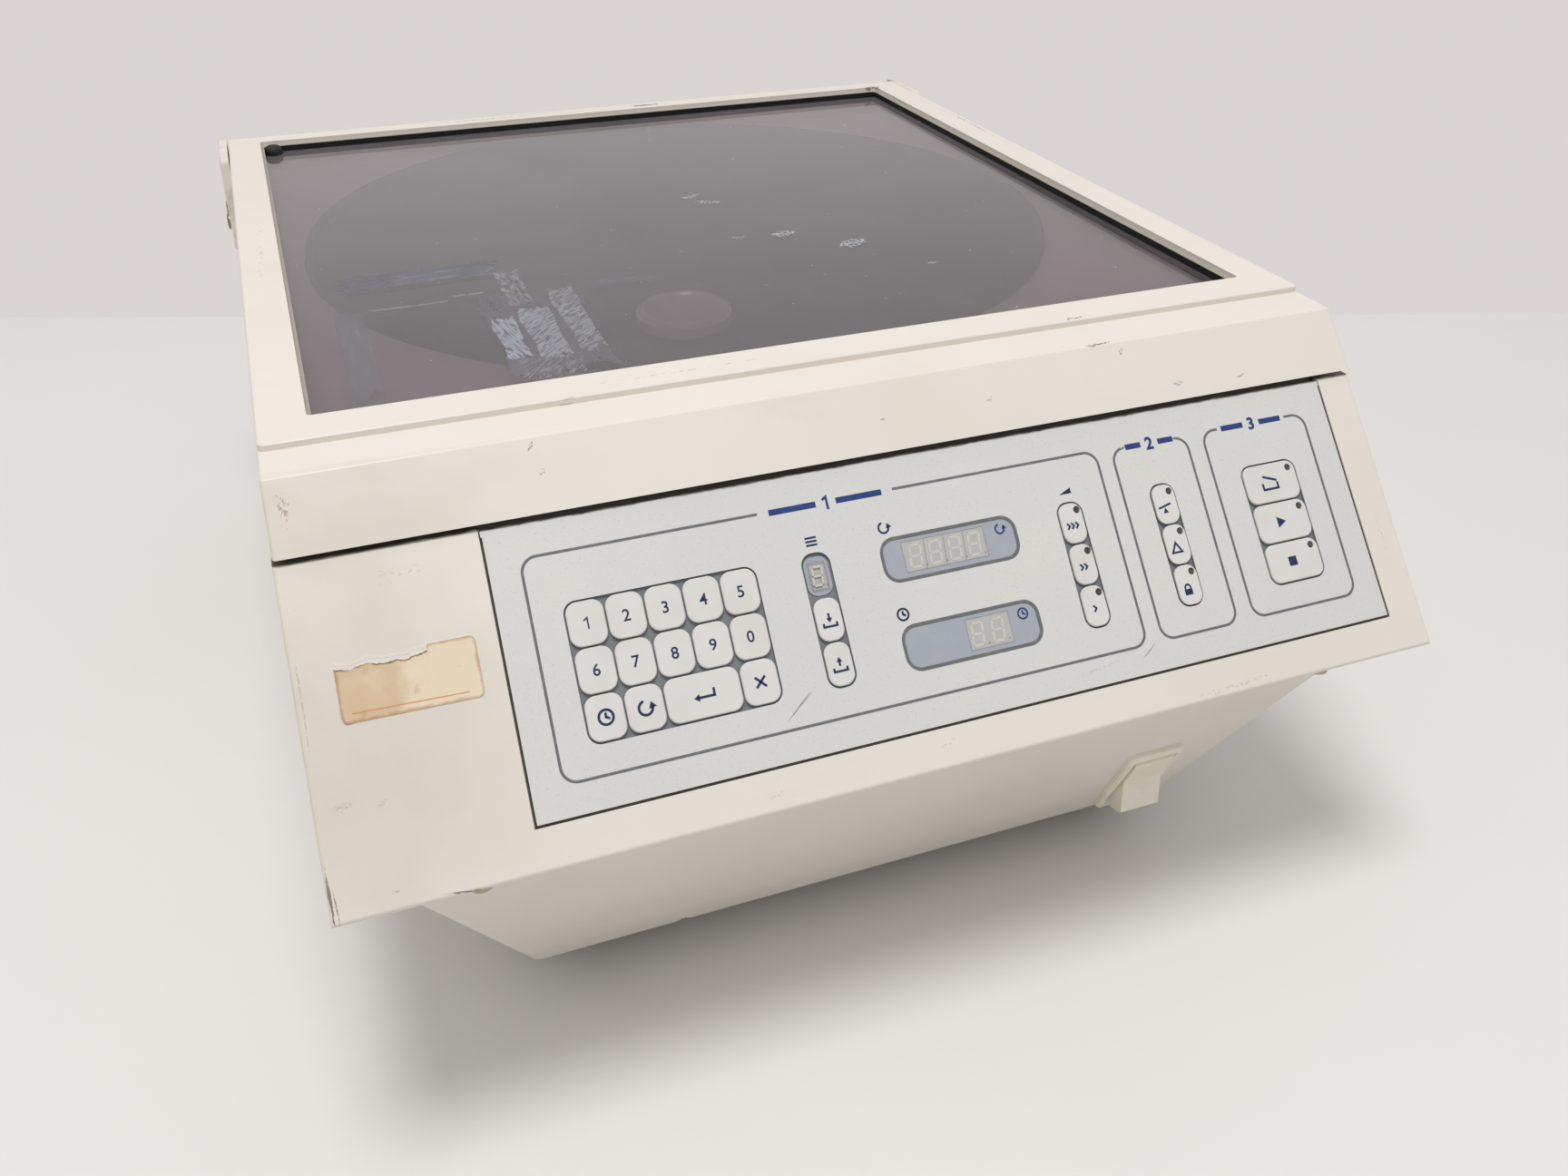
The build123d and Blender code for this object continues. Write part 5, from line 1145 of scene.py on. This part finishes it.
def labelPiece(look):
    # place = straight sides with rounded corners, the top edge cut back by a random walk, the sheet lifted where it tore
    draw = np.random.default_rng(look["seed"])
    across = np.linspace(0, 1, look["columns"])
    down = np.linspace(0, 1, look["rows"])
    walk = np.cumsum(draw.normal(0, 0.16, look["columns"]))
    walk = walk - np.linspace(walk[0], walk[-1], look["columns"])
    notch = 1.4 * np.exp(-(((across - 0.10) / 0.10) ** 2)) + 0.9 * np.exp(-(((across - 0.42) / 0.12) ** 2))
    topEdge = look["top"] + np.where(across < 0.66, np.abs(walk) * 1.0 + notch, 0.15)
    corner = 2.0
    width, tall = look["right"] - look["left"], look["bottom"] - look["top"]
    nearSide = np.minimum(across, 1 - across) * width
    rounding = np.where(nearSide < corner, corner - np.sqrt(np.maximum(corner**2 - (corner - nearSide) ** 2, 0)), 0)
    topEdge = topEdge + np.where(across > 0.5, rounding, 0)
    bottomEdge = look["bottom"] - rounding + 0.5 * across
    x = np.broadcast_to(look["left"] + across * width, (look["rows"], look["columns"]))
    s = topEdge + down[:, None] * (bottomEdge - topEdge)
    curl = 0.5 * np.exp(-(down[:, None] * tall / 1.2)) * np.where(across < 0.66, 1.0, 0.15)
    curl = curl + 0.4 * np.exp(-((((across - 0.02) / 0.05) ** 2) + ((down[:, None] - 1) / 0.2) ** 2))
    ripple = 0.03 * np.sin(across * 31 + down[:, None] * 9)
    lift = curl + ripple + 0.06
    upper = np.stack([x, -s, lift + look["thickness"]], -1).reshape(-1, 3)
    lower = np.stack([x, -s, lift * 0.0 - 0.02], -1).reshape(-1, 3)
    rows, columns = look["rows"], look["columns"]
    cell = (np.arange(rows - 1)[:, None] * columns + np.arange(columns - 1)).ravel()
    count = rows * columns
    topFaces = np.stack([cell, cell + columns, cell + columns + 1, cell + 1], 1)
    bottomFaces = topFaces[:, ::-1] + count
    rim = np.concatenate(
        [
            np.arange(columns - 1),
            np.arange(rows - 1) * columns + columns - 1,
            (rows - 1) * columns + np.arange(columns - 1, 0, -1),
            np.arange(rows - 1, 0, -1) * columns,
        ]
    )
    onward = np.roll(rim, -1)
    sides = np.stack([rim, onward, onward + count, rim + count], 1)
    faces = topFaces.tolist() + bottomFaces.tolist() + sides.tolist()
    edge = np.minimum(np.minimum(nearSide, 99)[None, :], np.minimum(down * tall, (1 - down) * tall)[:, None])
    tear = (down * tall)[:, None] * np.where(across < 0.66, 1.0, 8.0)
    return np.concatenate([upper, lower]), faces, np.tile(edge.ravel(), 2), np.tile(tear.ravel(), 2)


def labelFinish(look):
    finish, tree, shader = newFinish("oldPaper", 0.62, 0.0, 0.3)
    coords = objectCoords(tree)
    edge = addNode(tree, "ShaderNodeAttribute", attribute_name="edgeDistance").outputs["Fac"]
    tear = addNode(tree, "ShaderNodeAttribute", attribute_name="tearDistance").outputs["Fac"]
    across = fade(tree, axisPart(tree, coords, 0), look["left"] / 1000, look["right"] / 1000, -0.25, 0.35)
    cloud = fade(tree, calc(tree, "ADD", grain(tree, coords, 80.0, 4.0), across), 0.30, 0.66)
    colour = blendTone(tree, cloud, look["paper"], look["pale"])
    ragged = calc(tree, "ADD", edge, calc(tree, "MULTIPLY", grain(tree, coords, 260.0, 4.0), 2.2))
    rim = fade(tree, ragged, 1.2, 2.4, 0.55, 0.0)
    colour = blendTone(tree, rim, colour, look["stain"])
    blots = fade(tree, grain(tree, coords, 190.0, 5.0, 0.65), 0.60, 0.72, 0.0, 0.3)
    colour = blendTone(tree, blots, colour, look["stain"])
    ragged = calc(tree, "ADD", tear, calc(tree, "MULTIPLY", grain(tree, coords, 150.0, 4.0, 0.6), 3.2))
    colour = blendTone(tree, fade(tree, ragged, 3.2, 3.4, 1.0, 0.0), colour, look["tear"])
    fold = calc(tree, "MULTIPLY", fade(tree, ragged, 3.1, 3.25), fade(tree, ragged, 3.4, 3.8, 1.0, 0.0))
    broken = fade(tree, grain(tree, coords, 120.0, 2.0), 0.42, 0.56, 0.15, 0.9)
    colour = blendTone(tree, calc(tree, "MULTIPLY", fold, broken), colour, look["crease"])
    feed(tree, shader.inputs["Base Color"], colour)
    feed(tree, shader.inputs["Normal"], bump(tree, grain(tree, coords, 500.0, 4.0), 0.4, 0.00006))
    return finish


labelPoints, labelFaces, edgeDistance, tearDistance = labelPiece(labelLook)
paperLabel = addPiece(
    "paper_label", onConsole(labelPoints), labelFaces, labelFinish(labelLook), "base"
)
for name, values in (("edgeDistance", edgeDistance), ("tearDistance", tearDistance)):
    field = paperLabel.data.attributes.new(name, "FLOAT", "POINT")
    field.data.foreach_set("value", values.astype(np.float32))
ruleLine = printedLine([[-181.0, -46.3], [-145.9, -47.2]], 0.28)
ruleFinish = printFinish("orangePrint", tone(218, 142, 92), tone(224, 170, 124))
addPrint("paper_label_rule", [movedShape(ruleLine, 0.0, 0.0, 0.19)], ruleFinish, "base")
print("label ready")

# table, light and camera
stageLook = {
    "table": tone(234, 232, 230),
    "wall": tone(221, 216, 214),
    "tableNear": 1.4,
    "tableFar": 1.045,
    "tableSide": 1.6,
}
cameraLook = {
    "place": (-0.1777, -0.57007, 0.4166),
    "yaw": 20.63,
    "pitch": 26.87,
    "roll": -0.13,
    "lens": 32.494,
    "shiftX": -0.0029,
    "shiftY": -0.0926,
}
yaw = math.radians(cameraLook["yaw"])
forward = np.array([math.sin(yaw), math.cos(yaw)])
sideways = np.array([math.cos(yaw), -math.sin(yaw)])
foot = np.array(cameraLook["place"][:2])
corners = [
    foot - sideways * stageLook["tableSide"] - forward * stageLook["tableNear"],
    foot + sideways * stageLook["tableSide"] - forward * stageLook["tableNear"],
    foot + sideways * stageLook["tableSide"] + forward * stageLook["tableFar"],
    foot - sideways * stageLook["tableSide"] + forward * stageLook["tableFar"],
]
tableMesh = bpy.data.meshes.new("table")
tableMesh.from_pydata([(*corner, 0.0) for corner in corners], [], [(0, 1, 2, 3)])
table = bpy.data.objects.new("table", tableMesh)
bpy.context.scene.collection.objects.link(table)
tableFinish, tree, shader = newFinish("paleTable", 0.5, 0.0, 0.3)
coords = objectCoords(tree)
cloud = fade(tree, grain(tree, coords, 3.0, 3.0), 0.35, 0.7)
feed(tree, shader.inputs["Base Color"], blendTone(tree, cloud, stageLook["table"], tone(231, 229, 227)))
tableMesh.materials.append(tableFinish)

world = bpy.data.worlds.new("studio")
bpy.context.scene.world = world
world.use_nodes = True
tree = world.node_tree
tree.nodes.clear()
skyLook = {"light": (1.0, 0.993, 0.985, 1.0), "level": 0.272, "above": 0.735, "seen": 0.965}
rays = addNode(tree, "ShaderNodeLightPath")
seen = calc(tree, "MAXIMUM", rays.outputs["Is Camera Ray"], rays.outputs["Is Glossy Ray"])
seen = calc(tree, "MAXIMUM", seen, rays.outputs["Is Transmission Ray"])
# the light grows evenly from the horizon to straight above
height = axisPart(tree, addNode(tree, "ShaderNodeTexCoord").outputs["Generated"], 2)
growing = addNode(
    tree,
    "ShaderNodeMapRange",
    {"Value": height, "From Min": 0.0, "From Max": 1.0, "To Min": skyLook["level"], "To Max": skyLook["above"]},
).outputs[0]
ambient = addNode(tree, "ShaderNodeBackground", {0: skyLook["light"], 1: growing})
wall = addNode(tree, "ShaderNodeBackground", {0: stageLook["wall"], 1: skyLook["seen"]})
mixed = addNode(tree, "ShaderNodeMixShader", {0: seen, 1: ambient.outputs[0], 2: wall.outputs[0]})
addNode(tree, "ShaderNodeOutputWorld", {0: mixed.outputs[0]})

# level 1 lights a surface that faces the lamp so that its colour shows as written: watts = level x pi^2 x distance^2
lamps = {
    "ceilingLamp": {"place": (-0.28, -0.6, 2.2), "aim": (-0.05, -0.05, 0.1), "size": 0.75, "level": 0.49},
}
for name, lamp in lamps.items():
    offset = np.array(lamp["place"]) - np.array(lamp["aim"])
    distance = float(np.linalg.norm(offset))
    light = bpy.data.lights.new(name, "AREA")
    light.shape = "DISK"
    light.size = lamp["size"]
    light.energy = lamp["level"] * math.pi**2 * distance**2
    holder = bpy.data.objects.new(name, light)
    axisZ = offset / distance
    axisX = np.cross([0.0, 1.0, 0.0], axisZ)
    axisX /= np.linalg.norm(axisX)
    turn = Matrix(np.stack([axisX, np.cross(axisZ, axisX), axisZ], 1).tolist()).to_4x4()
    holder.matrix_world = Matrix.Translation(lamp["place"]) @ turn
    bpy.context.scene.collection.objects.link(holder)

camera = bpy.data.cameras.new("camera")
camera.sensor_width = 36.0
camera.lens = cameraLook["lens"]
camera.shift_x = cameraLook["shiftX"]
camera.shift_y = cameraLook["shiftY"]
cameraHolder = bpy.data.objects.new("camera", camera)
bpy.context.scene.collection.objects.link(cameraHolder)
cameraHolder.matrix_world = (
    Matrix.Translation(cameraLook["place"])
    @ Matrix.Rotation(-yaw, 4, "Z")
    @ Matrix.Rotation(math.radians(90 - cameraLook["pitch"]), 4, "X")
    @ Matrix.Rotation(math.radians(cameraLook["roll"]), 4, "Z")
)
bpy.context.scene.camera = cameraHolder
bpy.context.scene.view_settings.view_transform = "Standard"
print("table, lamps and camera ready")
